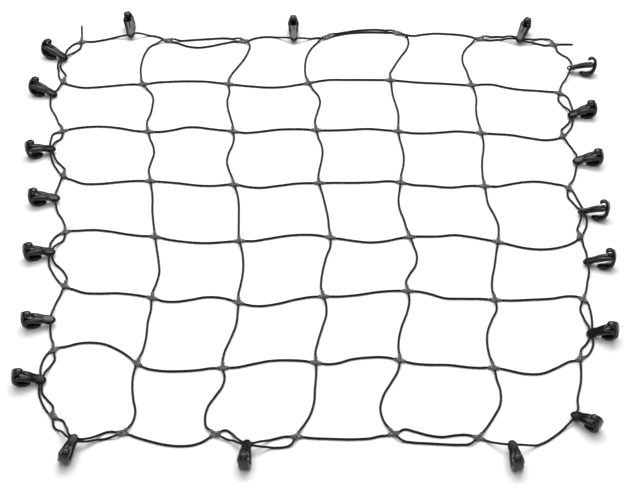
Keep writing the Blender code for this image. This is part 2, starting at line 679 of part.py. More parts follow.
def clip_directions(hooks):
    """For each crossing, the angles at which the row's and the column's cord pass it."""
    stops = [stop for _, run in cord_runs() for stop in run]
    angles = {}
    for _, stop, towards in plan_stations(stops, hooks)[2]:
        if stop[0] == "clip":
            angles[stop[1:]] = math.atan2(towards[1], towards[0])
    return angles


def prism(name, flat, reach, level, angle):
    """A lying six-sided bar through the crossing, with flats at its top and bottom."""
    radius = flat / math.cos(math.pi / 6)
    shape = bmesh.new()
    bmesh.ops.create_cone(
        shape,
        cap_ends=True,
        segments=6,
        radius1=radius * MM,
        radius2=radius * MM,
        depth=2 * reach * MM,
    )
    turn = Matrix.Translation((0, 0, level * MM)) @ Matrix.Rotation(angle, 4, "Z")
    lay = Matrix.Rotation(math.pi / 2, 4, "Y")
    bmesh.ops.transform(shape, matrix=turn @ lay, verts=shape.verts)
    return from_bmesh(name, shape)


def add_clip(row, column, angles, material):
    """A cross-shaped clip: an arm round each side of both cords, and a hub where they cross."""
    hub = bmesh.new()
    bmesh.ops.create_cone(
        hub,
        cap_ends=True,
        segments=8,
        radius1=CLIP_HUB * MM,
        radius2=CLIP_HUB * MM,
        depth=CLIP_TOP * MM,
    )
    turn = Matrix.Rotation(angles[row, column, "row"] + math.pi / 8, 4, "Z")
    rise = Matrix.Translation((0, 0, CLIP_TOP * MM / 2))
    bmesh.ops.transform(hub, matrix=rise @ turn, verts=hub.verts)
    clip = from_bmesh(f"clip_{row}_{column}", hub)
    sides = [
        (side, level, angles[row, column, side])
        for side, level in (("row", ROW_HEIGHT), ("column", COLUMN_HEIGHT))
    ]
    combine(clip, [prism(side, CLIP_ARM, CLIP_REACH, *lay) for side, *lay in sides], "UNION")
    bores = [prism(side, CLIP_BORE, 2 * CLIP_REACH, *lay) for side, *lay in sides]
    combine(clip, bores, "DIFFERENCE")
    clip.location = (*place(CROSSINGS[row][column]), 0)
    clip.data.materials.clear()
    clip.data.materials.append(material)


def on_border(row, column):
    return row in (0, 7) or column in (0, 6)


def main():
    clear_scene()
    materials = {name: finish(name) for name in FINISHES}
    mesh = hook_mesh()
    hooks = seat_hooks(mesh)
    for name, matrix in hooks.items():
        add_hook(f"hook_{name}", mesh, matrix, materials["hook_plastic"])
    add_cord(hooks, materials["cord_black"])
    angles = clip_directions(hooks)
    for row, line in enumerate(CROSSINGS):
        for column in range(len(line)):
            if on_border(row, column):
                add_clip(row, column, angles, materials["clip_metal"])


main()
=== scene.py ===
"""Visual model of an elastic cargo net: its cord, cross clips and hooks, and the stage it lies on.

Laid out as an add-on and run as a script. Metres, +Z up; the net lies on Z = 0. Tables are in
millimetres, measured as place() says. Every piece is a surface worked out on a grid.
"""

import math

import bpy
import numpy as np
from bpy.props import FloatProperty, FloatVectorProperty, IntProperty, PointerProperty
from mathutils import Matrix, Vector


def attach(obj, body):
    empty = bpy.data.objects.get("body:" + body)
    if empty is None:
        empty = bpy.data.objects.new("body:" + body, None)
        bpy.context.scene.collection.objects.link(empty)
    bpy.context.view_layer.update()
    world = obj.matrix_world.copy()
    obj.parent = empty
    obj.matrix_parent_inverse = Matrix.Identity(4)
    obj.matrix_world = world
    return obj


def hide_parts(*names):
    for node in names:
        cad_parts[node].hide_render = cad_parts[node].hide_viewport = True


bl_info = {
    "name": "Cargo Net",
    "version": (1, 0, 0),
    "blender": (4, 5, 0),
    "location": "3D View > Sidebar > Cargo Net",
    "description": "Elastic cargo net with cross clips and hooks, lying spread out",
    "category": "Add Mesh",
}

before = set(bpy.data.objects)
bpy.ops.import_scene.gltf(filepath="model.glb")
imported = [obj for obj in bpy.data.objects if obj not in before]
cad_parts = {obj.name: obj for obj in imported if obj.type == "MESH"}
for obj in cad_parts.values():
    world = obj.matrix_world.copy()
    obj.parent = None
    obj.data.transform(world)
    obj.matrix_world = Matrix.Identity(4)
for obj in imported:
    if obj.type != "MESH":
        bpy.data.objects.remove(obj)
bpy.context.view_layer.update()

MM = 0.001
CENTRE = (-13.7, -25.6)  # the middle of the net's box, in the tables' own millimetres

# ---------------------------------------------------------------- the cord's sizes
CORD_RADIUS = 2.5
CORD_PINCH = 0.74  # how much of its radius the cord keeps inside a clip
PINCH_REACH = 12.5  # the cord is pinched this far each side of a crossing
STRAIGHT_REACH = 10.0  # and straight this far
PINCH_FADE = 4.5  # and is round again after this much more
CLIMB = 24.0  # length in which the cord comes down to the ground beside a clip
EYE_REACH = 7.0  # the cord runs straight this far each side of a hook's eye
EYE_SLANTS = (24.0, 12.0)  # a lone cord and a pair may pass it this far from square, degrees
EYE_CLIMB = 45.0  # length in which it comes down to the ground beside a hook, if not
EYE_FALL = 3.2  # more than this much for each millimetre that it comes down
EYE_SEAT = 2.95  # how far each of two cords lies from the middle of the eye
DENSE = 24  # fine steps between two stops
ROW_HEIGHT = 3.0  # height of the row's cord inside a clip
COLUMN_HEIGHT = 7.0  # height of the column's cord inside a clip, over the row's
HOOK_SINK = 0.5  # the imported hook's lowest point was this far under the ground before its foot
REST_LENGTH = 45.0  # the finished hook is bent down over this length,
REST_DEPTH = 0.15  # until its lowest point would be this far under the ground

# Each crossing: one line for each row, one place for each column, x and y.
CROSSINGS = (
    ((-606, 645.5), (-386.5, 652), (-194.5, 650), (15.5, 666.5), (196.5, 684.5), (406, 659.5),
     (591, 635)),
    ((-635, 481), (-438, 471.5), (-226, 472), (-29, 476), (174, 487.5), (373, 468), (586.5, 434)),
    ((-616.5, 287), (-411.5, 285.5), (-208.5, 286.5), (-9.5, 291.5), (186.5, 286.5), (384, 280),
     (578, 268)),
    ((-597, 122), (-393.5, 103.5), (-199.5, 91), (-3, 97), (186, 98.5), (379, 86), (572.5, 77)),
    ((-572, -73), (-369.5, -88), (-180.5, -102), (22.5, -90), (200, -88.5), (396, -105),
     (581, -89)),
    ((-554.5, -247), (-362.5, -284), (-176, -297.5), (6.7, -279), (189, -262), (375.7, -289.5),
     (566, -290)),
    ((-557.5, -440), (-379.5, -478.5), (-201.5, -491), (-9, -476), (165, -469), (358.5, -491),
     (541, -465)),
    ((-538, -625), (-395, -670), (-210, -673.5), (-47, -679.5), (145.5, -671.5), (315, -682.5)),
)

# Where each column's cord bends between one row and the next, and the hooks it threads.
COLUMNS = (
    (
        [(-606, 621), (-616, 607), "left_0", (-648, 537), (-641, 524), (-631, 504)],
        [(-646.5, 444), "left_1", (-657, 391), (-652, 372), (-640, 347), (-627, 313)],
        [(-615, 262.5), (-627, 245.5), "left_2", (-620, 177), (-606, 160), (-595, 139.5)],
        [(-603, 92), (-606, 58), "left_3", (-601, 8.5), (-597, -4), (-582, -32), (-575, -53)],
        [(-572, -97.5), (-583.5, -115), "left_4", (-584, -177), (-572, -189), (-559, -207),
         (-552, -227)],
        [(-560, -272.5), (-570, -310), "left_5", (-569.5, -389), (-567, -404), (-560, -423.5)],
        [(-552, -465), (-559, -486.5), "left_6", (-567, -563), (-555, -580), (-541, -600.5)],
    ),
    (
        [(-411, 642.5), (-430, 628), (-441, 600), (-447, 562), (-447.5, 530), (-444, 498.5)],
        [(-427, 451.5), (-416, 437), (-408.5, 415), (-408, 390), (-410.5, 355), (-417, 320)],
        [(-405, 258), (-396, 232), (-392, 203), (-396, 176), (-400, 145)],
        [(-388, 72), (-384, 40), (-382.5, 10), (-378, -30), (-373, -64)],
        [(-364, -122), (-356, -170), (-352.5, -203), (-356, -235), (-361, -260)],
        [(-362.5, -315), (-366.5, -355), (-367, -405), (-371, -440)],
        [(-385.5, -510), (-385, -543), (-380, -580), (-373.5, -615), (-380, -649.5)],
    ),
    (
        [(-178.5, 630.5), (-181, 610), (-190, 578), (-207, 540), (-222, 506)],
        [(-223, 443.5), (-227, 405), (-224.5, 378), (-217, 341), (-210.5, 310)],
        [(-205.5, 259.5), (-208, 237), (-217, 200), (-219, 175), (-213, 144), (-205, 116.5)],
        [(-191, 60), (-186, 20), (-184.5, -20), (-183, -70)],
        [(-175, -127.5), (-170, -165), (-169.5, -205), (-173.5, -245), (-177, -274)],
        [(-176.5, -326.5), (-178.5, -363), (-190, -410), (-201, -450)],
        [(-197, -518), (-200, -540), (-214, -570), (-228, -600), (-232, -630), (-226, -658.5)],
    ),
    (
        [(-8, 643), (-24, 616), (-34, 585), (-38, 540), (-36, 504)],
        [(-18, 449.5), (-6, 428), (-0.5, 402), (-6, 365), (-12, 333), (-12.5, 312.5)],
        [(-5, 264), (2, 240), (5.5, 212), (3, 180), (-2, 145), (-4.5, 120)],
        [(3.5, 65), (10.5, 25), (17.5, -25), (20.5, -68.5)],
        [(22.5, -118), (14, -150), (6.5, -190), (2, -230), (2, -257.5)],
        [(12.5, -307), (13, -330), (4.5, -372), (-5, -415), (-10.5, -452)],
        [(-8.5, -506), (-11, -550), (-12.5, -585), (-22, -625), (-37, -657)],
    ),
    (
        [(220, 668), (224, 650), (219, 620), (200, 580), (182, 537.5), (172.5, 509.5)],
        [(175.5, 460), (178, 425), (183, 395), (188.5, 358), (187.5, 313.5)],
        [(188.5, 259.5), (193.5, 228), (196.5, 190), (193.5, 155), (187.5, 122)],
        [(182.5, 70), (179, 38), (181, 5), (189, -30), (195, -66.5)],
        [(207, -116), (213.5, -150), (209, -182), (195, -210), (186, -238)],
        [(191.5, -290), (186, -325), (172, -372), (164.5, -415), (164, -445)],
        [(161, -497), (146, -531), (129, -567), (121.5, -605), (126, -633), (135, -655)],
    ),
    (
        [(384, 640), (369, 619), (358, 590), (357, 562), (365, 522), (369, 492)],
        [(379, 441), (381.5, 415), (378, 375), (378, 345), (382, 304)],
        [(387.5, 249), (386, 222), (380, 180), (377.3, 135), (377.5, 110)],
        [(381, 55), (383, 25), (394, -14), (401, -50), (399.5, -79.5)],
        [(391, -133.5), (383, -182), (374, -230), (372.5, -263.5)],
        [(378, -315.5), (366, -348), (353.5, -386), (350.5, -430), (354.5, -467)],
        [(362, -519), (368, -556), (364, -595), (350, -625), (331, -659)],
    ),
    (
        [(597, 609.5), (607, 594), (621, 580), (628, 558.5), "right_0", (610, 491), (600, 478),
         (591.5, 455.5)],
        [(581, 408.5), (588, 390), "right_1", (596.5, 316), (587, 304), (577, 289.5)],
        [(586, 243.5), (596, 220), "right_2", (595.5, 141), (591, 122), (581, 96.5)],
        [(567.5, 49), (576, 29.5), (584, 12.5), "right_3", (588, -33), (584.5, -45), (579, -57),
         (576.5, -69)],
        [(585, -115), (589, -141), "right_4", (586, -215.5), (583, -226), (575, -263)],
        [(557, -315.5), (561, -345), "right_5", (559, -421), (546, -438)],
        [(539, -496), (535, -530), (524, -573), "right_6", (491.5, -654.5), (470, -675),
         (446, -694),
         (419, -706.5), "bottom_2", (343, -699.5)],
    ),
)

# Where each row's cord bends between one column and the next, and the hooks it threads.
ROWS = (
    (
        [(-583, 648), (-550, 656), (-520, 665.5), "top_0", (-444, 674), (-425, 673), (-407, 665)],
        [(-364, 643), (-337, 629), (-308, 623.5), (-280, 629), (-245, 641), (-217, 648.5)],
        [(-169, 661.5), (-145, 668.5), (-108, 666), "top_1", (-30, 659), (-10, 664)],
        [(38, 674), (54, 680), (72, 684.6), (100, 688), (140, 689), (172, 687.3)],
        [(219, 677.5), (236, 674), (262, 679.5), (295, 684), (325, 682), (355, 678), (383, 670)],
        [(429, 654), (451, 656.5), (473, 653), "top_2", (529, 639.5), (544, 640.5), (557, 637),
         (570, 632)],
    ),
    (
        [(-610, 465), (-582, 457.5), (-555, 459), (-510, 465.5), (-462, 471)],
        [(-410, 477.5), (-370, 482), (-320, 484), (-275, 481.5), (-250, 476.5)],
        [(-200, 467.5), (-165, 462.5), (-125, 458.5), (-90, 461), (-55, 469.5)],
        [(-5, 483.5), (20, 489), (60, 489.5), (120, 489.5), (150, 489)],
        [(200, 484.5), (245, 478.5), (300, 474.5), (347, 469.5)],
        [(400, 470.5), (425, 470), (455, 459), (490, 450), (540, 444.5), (562, 441)],
    ),
    (
        [(-590, 297.5), (-560, 303.5), (-520, 305), (-480, 299), (-438, 288)],
        [(-385, 285), (-352, 292), (-322, 302), (-300, 303), (-262, 296), (-233, 291)],
        [(-184, 281.5), (-150, 284.5), (-110, 292.5), (-75, 295.5), (-35, 294.5)],
        [(18, 290.5), (65, 293), (115, 296.5), (160, 291)],
        [(212, 281.5), (245, 279.5), (290, 283), (325, 287), (358, 284)],
        [(410, 277.5), (455, 273), (500, 261), (535, 254), (556, 256.5)],
    ),
    (
        [(-575, 108), (-548, 95), (-515, 94), (-460, 101.5), (-420, 105)],
        [(-368, 101.5), (-325, 96), (-280, 88.5), (-245, 87.5), (-224, 90)],
        [(-175, 85.5), (-140, 80.5), (-100, 87), (-50, 96), (-28, 97)],
        [(24, 98), (90, 98.5), (130, 101), (160, 104)],
        [(210, 91.5), (250, 87.5), (298, 81.5), (352, 87.5)],
        [(404, 84.5), (435, 92), (470, 100.5), (505, 102), (542, 93.5)],
    ),
    (
        [(-547, -67.5), (-510, -64.5), (-475, -69), (-430, -79.5), (-396, -85)],
        [(-345, -95), (-305, -103.5), (-262, -108), (-207, -104)],
        [(-155, -102), (-115, -93.5), (-75, -84), (-40, -80.5), (-4, -83)],
        [(47, -95), (80, -102), (108, -106), (145, -102), (175, -93)],
        [(226, -86.5), (265, -86), (300, -81.5), (335, -87.5), (370, -97)],
        [(420, -113), (455, -124.5), (490, -129), (530, -123), (561, -109)],
    ),
    (
        [(-535, -257), (-512, -267), (-480, -269.5), (-440, -268.5), (-388, -276.5)],
        [(-342, -292), (-315, -295), (-280, -289), (-248, -281), (-215, -282.5), (-196, -288.5)],
        [(-152, -306), (-128, -308), (-95, -302), (-50, -287), (-18, -280)],
        [(31, -279), (80, -274), (125, -264.5), (163, -261)],
        [(214, -264), (240, -272), (265, -283), (305, -285.5), (350, -286.5)],
        [(400, -291), (455, -288.5), (505, -284), (528, -278.5), (543, -278)],
    ),
    (
        [(-535, -430), (-505, -419.5), (-482, -417.5), (-455, -421.5), (-425, -437.5),
         (-397, -461)],
        [(-362, -491), (-335, -498), (-285, -499.5), (-250, -496), (-226, -491.5)],
        [(-177, -489.5), (-140, -479.5), (-105, -470.5), (-65, -468.5), (-32, -471)],
        [(14, -480), (34, -477.5), (65, -466), (100, -460.5), (140, -461)],
        [(188, -476.5), (220, -481), (265, -482), (310, -489), (333, -490.5)],
        [(384, -496), (425, -507.5), (455, -507), (490, -490), (520, -472)],
    ),
    (
        [(-518.5, -636), (-511, -650), (-504.5, -668), "bottom_0", (-461, -692), (-446, -680),
         (-426, -667)],
        [(-370, -679), (-340, -690.5), (-308, -700), (-278, -703.5), (-250, -700), (-229, -689)],
        [(-190, -662), (-176, -672), (-166, -690), "bottom_1", (-115, -697), (-102, -689),
         (-88, -684), (-71, -679)],
        [(-22, -682), (20, -684.5), (70, -685.5), (100, -683), (121, -677)],
        [(166, -660), (190, -666), (215, -675), (243, -679.5), (270, -675), (291, -674)],
    ),
)

# The outer strand where the cord turns from one line to the next, and the hooks it threads.
TURNS = {
    ("left", 0): [(-625, 636), (-638, 615), "left_0", (-655, 541), (-651.5, 525), (-648, 502)],
    ("left", 2): [(-636, 277), (-640.5, 254), "left_2", (-629, 175), (-623, 161.5), (-612, 141)],
    ("left", 4): [(-589.5, -85), (-599, -105), "left_4", (-595, -185), (-588, -200), (-572, -229)],
    ("left", 6): [(-572, -457), (-578.5, -487), "left_6", (-573.5, -564), (-565, -588),
                  (-554, -609)],
    ("right", 1): [(604, 419), (609, 396), "right_1", (605.5, 312), (601, 299.5), (592, 284)],
    ("right", 3): [(584, 57), (589, 37), (594, 17), "right_3", (600, -38), (599.5, -51),
                   (594, -66)],
    ("right", 5): [(577, -316), (578, -346), "right_5", (572, -425.5), (566, -441), (558, -454)],
    ("top", 1): [(-362, 652.5), (-320, 656.5), (-280, 660.5), (-245, 663.5), (-216, 659)],
    ("top", 3): [(36, 680), (52, 686), (70, 691), (90, 695.8), (117, 699.5), (145, 700.5),
                 (174, 695)],
    ("top", 5): [(433, 668), (453, 670), (475, 666), "top_2", (530, 651), (545, 656), (566, 660),
                 (581, 653.5)],
    ("bottom", 0): [(-534.5, -651), (-517, -671), "bottom_0", (-464, -701), (-447, -691),
                    (-423.5, -683.5)],
    ("bottom", 2): [(-191, -685.5), (-176, -693), "bottom_1", (-118, -714), (-104, -709.5),
                    (-88, -708), (-72, -706.5), (-57, -700.5)],
    ("bottom", 4): [(161, -689), (180, -693.5), (215, -696.5), (250, -699), (280, -700),
                    (300, -698)],
}

FIRST_TAIL = [(-613, 719), (-610, 692)]  # the cord's free end past the top left crossing
LAST_TAIL = [(617, 637), (641, 637)]  # and past the top right one

# ---------------------------------------------------------------- hooks
# x and y of the eye; heading of the shank from +X, its climb, and its roll about itself, degrees.
HOOKS = {
    "left_0": (-642, 571, 155, 16, 12),
    "left_1": (-653, 425, 167, 19, 6),
    "left_2": (-633, 209, 199, 12, 3),
    "left_3": (-604, 32, 189, 12, -7),
    "left_4": (-595, -147, 195, 14, -4),
    "left_5": (-571, -362, 190, 10, -12),
    "left_6": (-572, -530, 189, 19, -12),
    "right_0": (623, 523, -10, 10, -22),
    "right_1": (606, 342, 5, 18, 5),
    "right_2": (600, 167, -2, 16, 12),
    "right_3": (593, -12, -15, 16, -20),
    "right_4": (587, -177, -9, 16, -15),
    "right_5": (570, -395, -15, 25, 12),
    "right_6": (511, -632, -40, 13, 15),
    "top_0": (-482, 665, 99, 11, -12),
    "top_1": (-67, 649, 92, 9, 0),
    "top_2": (505, 643.5, 68, 11, 15),
    "bottom_0": (-487, -699.5, -105, 0, -15),
    "bottom_1": (-145, -710.5, -94, 3, 3),
    "bottom_2": (378, -714, -83, 1, 5),
}

# The hook's own shape from its eye: x along the shank, z to the small prong, width, thickness.
SHANK = (
    (-10.5, 0.0, 9.0, 6.0),
    (-8.6, 0.0, 13.0, 9.0),
    (0.0, 0.0, 19.5, 10.0),
    (8.0, 0.4, 20.5, 9.8),
    (20.0, 2.5, 23.0, 9.4),
    (33.0, 3.6, 26.5, 9.2),
    (46.0, 3.8, 30.0, 9.2),
    (57.0, 3.6, 27.0, 9.0),
)
ANCHOR = (
    (43.5, 14.8, 10.0, 4.4),
    (45.5, 18.8, 13.0, 5.4),
    (51.5, 20.6, 17.0, 5.8),
    (57.4, 16.4, 21.5, 6.4),
    (59.3, 6.2, 24.5, 7.4),
    (57.4, -4.0, 25.5, 7.8),
    (51.8, -11.8, 27.5, 7.8),
    (43.5, -15.4, 25.0, 8.8),
    (33.0, -15.6, 21.0, 8.8),
    (24.0, -12.4, 14.0, 5.4),
)
SECTION_CHAMFER = 2.6

# ---------------------------------------------------------------- the finished hook
# Each strip: places along it, the power that rounds its section, and how far its two tips reach.
SHANK_STRIP = (44, 3.2, (0.3, 2.0))
PRONGS_STRIP = (64, 2.4, (2.4, 3.4))
PLATE_STRIP = (30, 7.0, (0.8, 0.8))
TIP_SHARES = (0.35, 0.62, 0.82, 0.94, 0.99)  # of a tip's reach, where its sections stand

# x along the shank from the eye, z to the small prong, width, thickness.
SHANK_LOOK = (
    (8.6, 1.6, 14.0, 8.4),
    (10.0, 1.6, 18.0, 9.6),
    (14.0, 2.0, 20.5, 10.8),
    (22.0, 3.3, 22.2, 12.0),
    (33.0, 4.7, 24.4, 12.4),
    (43.0, 5.1, 26.2, 12.2),
    (49.5, 5.0, 27.2, 11.6),
    (54.0, 4.8, 25.6, 10.4),
    (57.4, 4.5, 19.6, 8.0),
    (59.0, 4.4, 12.0, 5.0),
)
# The small prong's knob, its neck, the bend over the shank's end, and the long prong.
PRONGS_LOOK = (
    (45.4, 18.2, 8.0, 5.6),
    (46.2, 19.8, 12.2, 8.0),
    (49.2, 21.6, 14.6, 8.8),
    (53.0, 22.2, 14.0, 7.8),
    (56.9, 20.4, 14.8, 6.6),
    (59.6, 15.8, 18.2, 6.2),
    (60.3, 9.6, 21.0, 6.6),
    (59.0, 2.4, 22.8, 7.4),
    (55.8, -5.2, 24.4, 8.6),
    (50.2, -12.2, 26.0, 10.0),
    (41.0, -16.0, 25.0, 11.0),
    (31.6, -16.4, 22.0, 11.2),
    (25.0, -14.6, 17.0, 9.8),
    (22.0, -13.4, 11.6, 7.0),
)
# The plate on the outside of that bend: share of the prongs' length, width.
PLATE = ((0.2, 12.5), (0.24, 15.8), (0.32, 18.6), (0.42, 20.2), (0.55, 22.4), (0.66, 21.4))
PLATE_THICK = 2.2
PLATE_SINK = (0.4, 1.0)  # how deep its middle lies under the prongs' face, at its start and end
# The raised rim round the head: x, y, z of its middle line, one half of it.
RIM = (
    (34.0, 12.2, 4.9),
    (40.0, 12.9, 5.0),
    (46.0, 13.4, 5.0),
    (51.0, 13.2, 4.8),
    (56.0, 11.6, 4.4),
    (59.6, 9.0, 3.9),
    (61.0, 4.8, 3.5),
    (61.4, 0.0, 3.4),
)
RIM_RADIUS = 1.15
RIM_PLACES = 44
# The spine down the middle of the plate: where it runs, as shares of the prongs' length, its
# half width, its height, and a peak near its end: height, place and reach as shares of itself.
SPINE_RUN = (0.22, 0.62)
SPINE_HALF = 0.8
SPINE_HEIGHT = 1.9
SPINE_PEAK = (0.9, 0.92, 0.08)
SPINE_PLACES = 40
THIN_SIDES = 8  # faces round the rim and the spine
THIN_END = 0.3  # the power with which both end: the smaller, the blunter
RIM_ARC = (0.15, np.pi - 0.15)  # the stretch of the sine that each uses, in radians
SPINE_ARC = (0.1, 3.04)

# The eye: the half length, half height and power of its slot; how far its ring reaches past the
# middle and into the shank; the ring's half height, and its power on each of those sides.
SLOT_LOOP = (7.7, 3.1, 2.4)
RING_REACH = (11.0, 24.0)
RING_HALF = 5.9
RING_POWERS = (2.2, 3.0)
RING_PLACES = 56
# The ring's place along the shank, how far its middle is lifted there; and its half width.
RING_LIFT = ((-11.0, -0.8), (0.0, -0.3), (8.0, 0.67), (24.0, 3.9))
RING_WIDTH = (
    (-11.0, 2.2),
    (-9.8, 4.0),
    (-7.4, 6.1),
    (-4.0, 7.9),
    (0.0, 9.0),
    (8.0, 9.9),
    (14.0, 10.2),
    (24.0, 9.0),
)

# Cuts in the shank's upper face. The groove and the edge lines: depth, half width, and their run:
# the length in which they deepen from CUTS_FROM on, where they begin to end, and in what length.
CUTS_FROM = 13.0
GROOVE = (1.1, 1.7, (9.0, 33.0, 6.0))
EDGE_LINE = (0.5, 1.2, (8.0, 44.0, 6.0))
EDGE_SHARE = 0.78  # the edge lines' place, as a share of the half width
# The pocket: depth, middle along the shank, half length and half width.
POCKET = (3.6, 43.5, 9.5, 8.2)

# Half sections of the flat parts, as shares of the half width, close together where they bend.
ACROSS = (0.0, 0.06, 0.12, 0.18, 0.26, 0.38, 0.5, 0.62, 0.72, 0.8, 0.87, 0.93, 0.97, 0.993, 1.0)

# ---------------------------------------------------------------- the finished clip
# Half of a sleeve's outside from the crossing outwards: place along the cord, radius.
SLEEVE = (
    (0.0, 3.35),
    (2.6, 3.35),
    (4.6, 3.0),
    (6.2, 3.3),
    (8.2, 3.95),
    (10.2, 4.0),
    (11.6, 3.6),
    (12.3, 3.1),
)
SLEEVE_BORE = ((7.0, 1.7), (9.6, 1.9), (11.2, 2.45), (12.1, 2.7))
# Directions round a sleeve from its top, degrees, close together at the seam.
SEAM_ROUND = (0, 7, 14, 21, 28, 38, 52, 70, 92, 116, 140, 162, 180)
# The seam's ridge and the groove at each side of it: height, angle from the top, reach in degrees.
SEAM_RIDGE = (0.75, 0.0, 11.0)
SEAM_GROOVE = (-0.4, 26.0, 9.0)
SEAM_END = (10.0, 2.3)  # they fade from this far along the sleeve, in this length
HUB_REACH = 8.8
HUB_POWER = 1.35
HUB_MIDDLE = 3.9
HUB_HALF = 3.5
HUB_SHARES = (0.12, 0.4, 0.65, 0.82, 0.93, 0.985)
HUB_ROUND = 32

GROUND_GAP = 0.02  # what rests on the ground stays this far over it


def place(point):
    """A table's point in metres, measured from the net's middle."""
    return (np.asarray(point, float) - CENTRE) * MM


# ---------------------------------------------------------------- where the hooks stand


def strip_corners(table):
    """The six corners round each of the table's places, in metres: half the width to each side
    at mid thickness, and half the thickness up and down at the width less a chamfer."""
    x, z, width, thick = np.array(table, float).T * MM
    run = np.gradient(np.stack([x, z], axis=1), axis=0)
    run /= np.linalg.norm(run, axis=1, keepdims=True)
    half = width / 2
    side = half - SECTION_CHAMFER * MM
    corners = []
    for y, lift in ((half, 0), (side, 0.5), (-side, 0.5), (-half, 0), (-side, -0.5), (side, -0.5)):
        height = thick * lift
        corners.append(np.stack([x - run[:, 1] * height, y, z + run[:, 0] * height], axis=1))
    return np.concatenate(corners)


def hook_places():
    """Each hook's place as a matrix: heading about Z, then climb, then roll about its own
    shank, with its lowest corner HOOK_SINK under the ground."""
    corners = np.concatenate([strip_corners(SHANK), strip_corners(ANCHOR)])
    places = {}
    for name, (x, y, *angles) in HOOKS.items():
        heading, climb, roll = np.radians(angles)
        turn = Matrix.Rotation(heading, 4, "Z") @ Matrix.Rotation(-climb, 4, "Y")
        turn = np.array(turn @ Matrix.Rotation(roll, 4, "X"))
        turn[:2, 3] = place((x, y))
        turn[2, 3] = -(corners @ turn[2, :3]).min() - HOOK_SINK * MM
        places[name] = turn
    return places


# ---------------------------------------------------------------- the cord's route


def strand_stops(strand, seat, backwards=False):
    """Stops for the bends and hooks between two crossings. A lone cord sits mid-eye."""
    shared = {stop for turn in TURNS.values() for stop in turn if isinstance(stop, str)}
    stops = []
    for stop in reversed(strand) if backwards else strand:
        if isinstance(stop, str):
            stops.append(("eye", stop, seat if stop in shared else 0))
        else:
            stops.append(("bend", *stop))
    return stops


def line_stops(table, crossing, last, backwards):
    """Stops along one row or column. crossing(i) gives the i-th clip's row and column."""
    clips = [("clip", *crossing(i)) for i in range(last + 1)]
    order = reversed(range(last)) if backwards else range(last)
    stops = [clips[last if backwards else 0]]
    for i in order:
        stops += strand_stops(table[i], -1, backwards) + [clips[i if backwards else i + 1]]
    return stops


def column_stops(column, upwards):
    last = 6 if column == 6 else 7
    return line_stops(COLUMNS[column], lambda i: (i, column, "column"), last, upwards)


def row_stops(row, leftwards):
    last = 5 if row == 7 else 6
    return line_stops(ROWS[row], lambda i: (row, i, "row"), last, leftwards)


def cord_stops():
    """Every stop of the one cord, from its free end at the top left down and up the columns,
    round the bottom right corner, and back and forth along the rows to its other end."""
    stops = strand_stops(FIRST_TAIL, 0) + column_stops(0, upwards=False)
    for column in range(1, 7):
        upwards = column % 2 == 1
        side = "bottom" if upwards else "top"
        stops += strand_stops(TURNS[side, column - 1], 1) + column_stops(column, upwards)
    stops += strand_stops(COLUMNS[6][6], 0) + row_stops(7, leftwards=True)
    for row in range(6, -1, -1):
        leftwards = row % 2 == 1
        side = "right" if leftwards else "left"
        stops += strand_stops(TURNS[side, row], 1, backwards=True) + row_stops(row, leftwards)
    return stops + strand_stops(LAST_TAIL, 0)


def unit(vector):
    return vector / np.linalg.norm(vector)


def stop_place(stop, hooks):
    """A stop's point on the ground plan, in metres."""
    if stop[0] == "bend":
        return place(stop[1:])
    if stop[0] == "clip":
        return place(CROSSINGS[stop[1]][stop[2]])
    turn = hooks[stop[1]]
    return turn[:2, 3] + turn[:2, 0] * stop[2] * EYE_SEAT * MM


def plan_stations(stops, hooks):
    """Points and directions for the smooth plan curve, and where each clip and eye stands.

    A clip or an eye gives two stations, one each side of it, with the same direction.
    """
    middles = np.array([stop_place(stop, hooks) for stop in stops])
    through = eye_directions(stops, middles, hooks)
    points, directions, marks = [], [], []
    for i, stop in enumerate(stops):
        if stop[0] == "bend":
            points.append(middles[i])
            directions.append(None)
            continue
        towards = bend_direction(middles, i)
        reach = STRAIGHT_REACH
        if stop[0] == "eye":
            reach = EYE_REACH
            towards = through[stop[1]] * np.sign(through[stop[1]] @ towards)
        marks.append((len(points), stop, towards))
        for side in (-1, 1):
            points.append(middles[i] + side * reach * MM * towards)
            directions.append(towards)
    points = np.array(points)
    for i, direction in enumerate(directions):
        if direction is None:
            directions[i] = bend_direction(points, i)
    return points, np.array(directions), marks


def eye_directions(stops, middles, hooks):
    """For each hook the line of its cord through the eye: the mean of what its strands want, but
    no further than EYE_SLANTS from square across the shank, because the slot is narrow."""
    wanted = {}
    for i, stop in enumerate(stops):
        if stop[0] == "eye":
            across = unit(hooks[stop[1]][:2, 1])
            towards = bend_direction(middles, i)
            wanted.setdefault(stop[1], []).append(towards * np.sign(towards @ across))
    lines = {}
    for name, strands in wanted.items():
        across = unit(hooks[name][:2, 1])
        left = np.array([-across[1], across[0]])
        towards = sum(strands)
        most = math.radians(EYE_SLANTS[len(strands) - 1])
        angle = np.clip(math.atan2(left @ towards, across @ towards), -most, most)
        lines[name] = across * math.cos(angle) + left * math.sin(angle)
    return lines


def bend_direction(points, i):
    """The curve's direction at a bend, from the steps before and after it. The nearer of the
    two counts more."""
    if i == 0 or i == len(points) - 1:
        j = min(i, len(points) - 2)
        return unit(points[j + 1] - points[j])
    before, after = points[i] - points[i - 1], points[i + 1] - points[i]
    near, far = np.linalg.norm(before), np.linalg.norm(after)
    return unit(before * far / near + after * near / far)


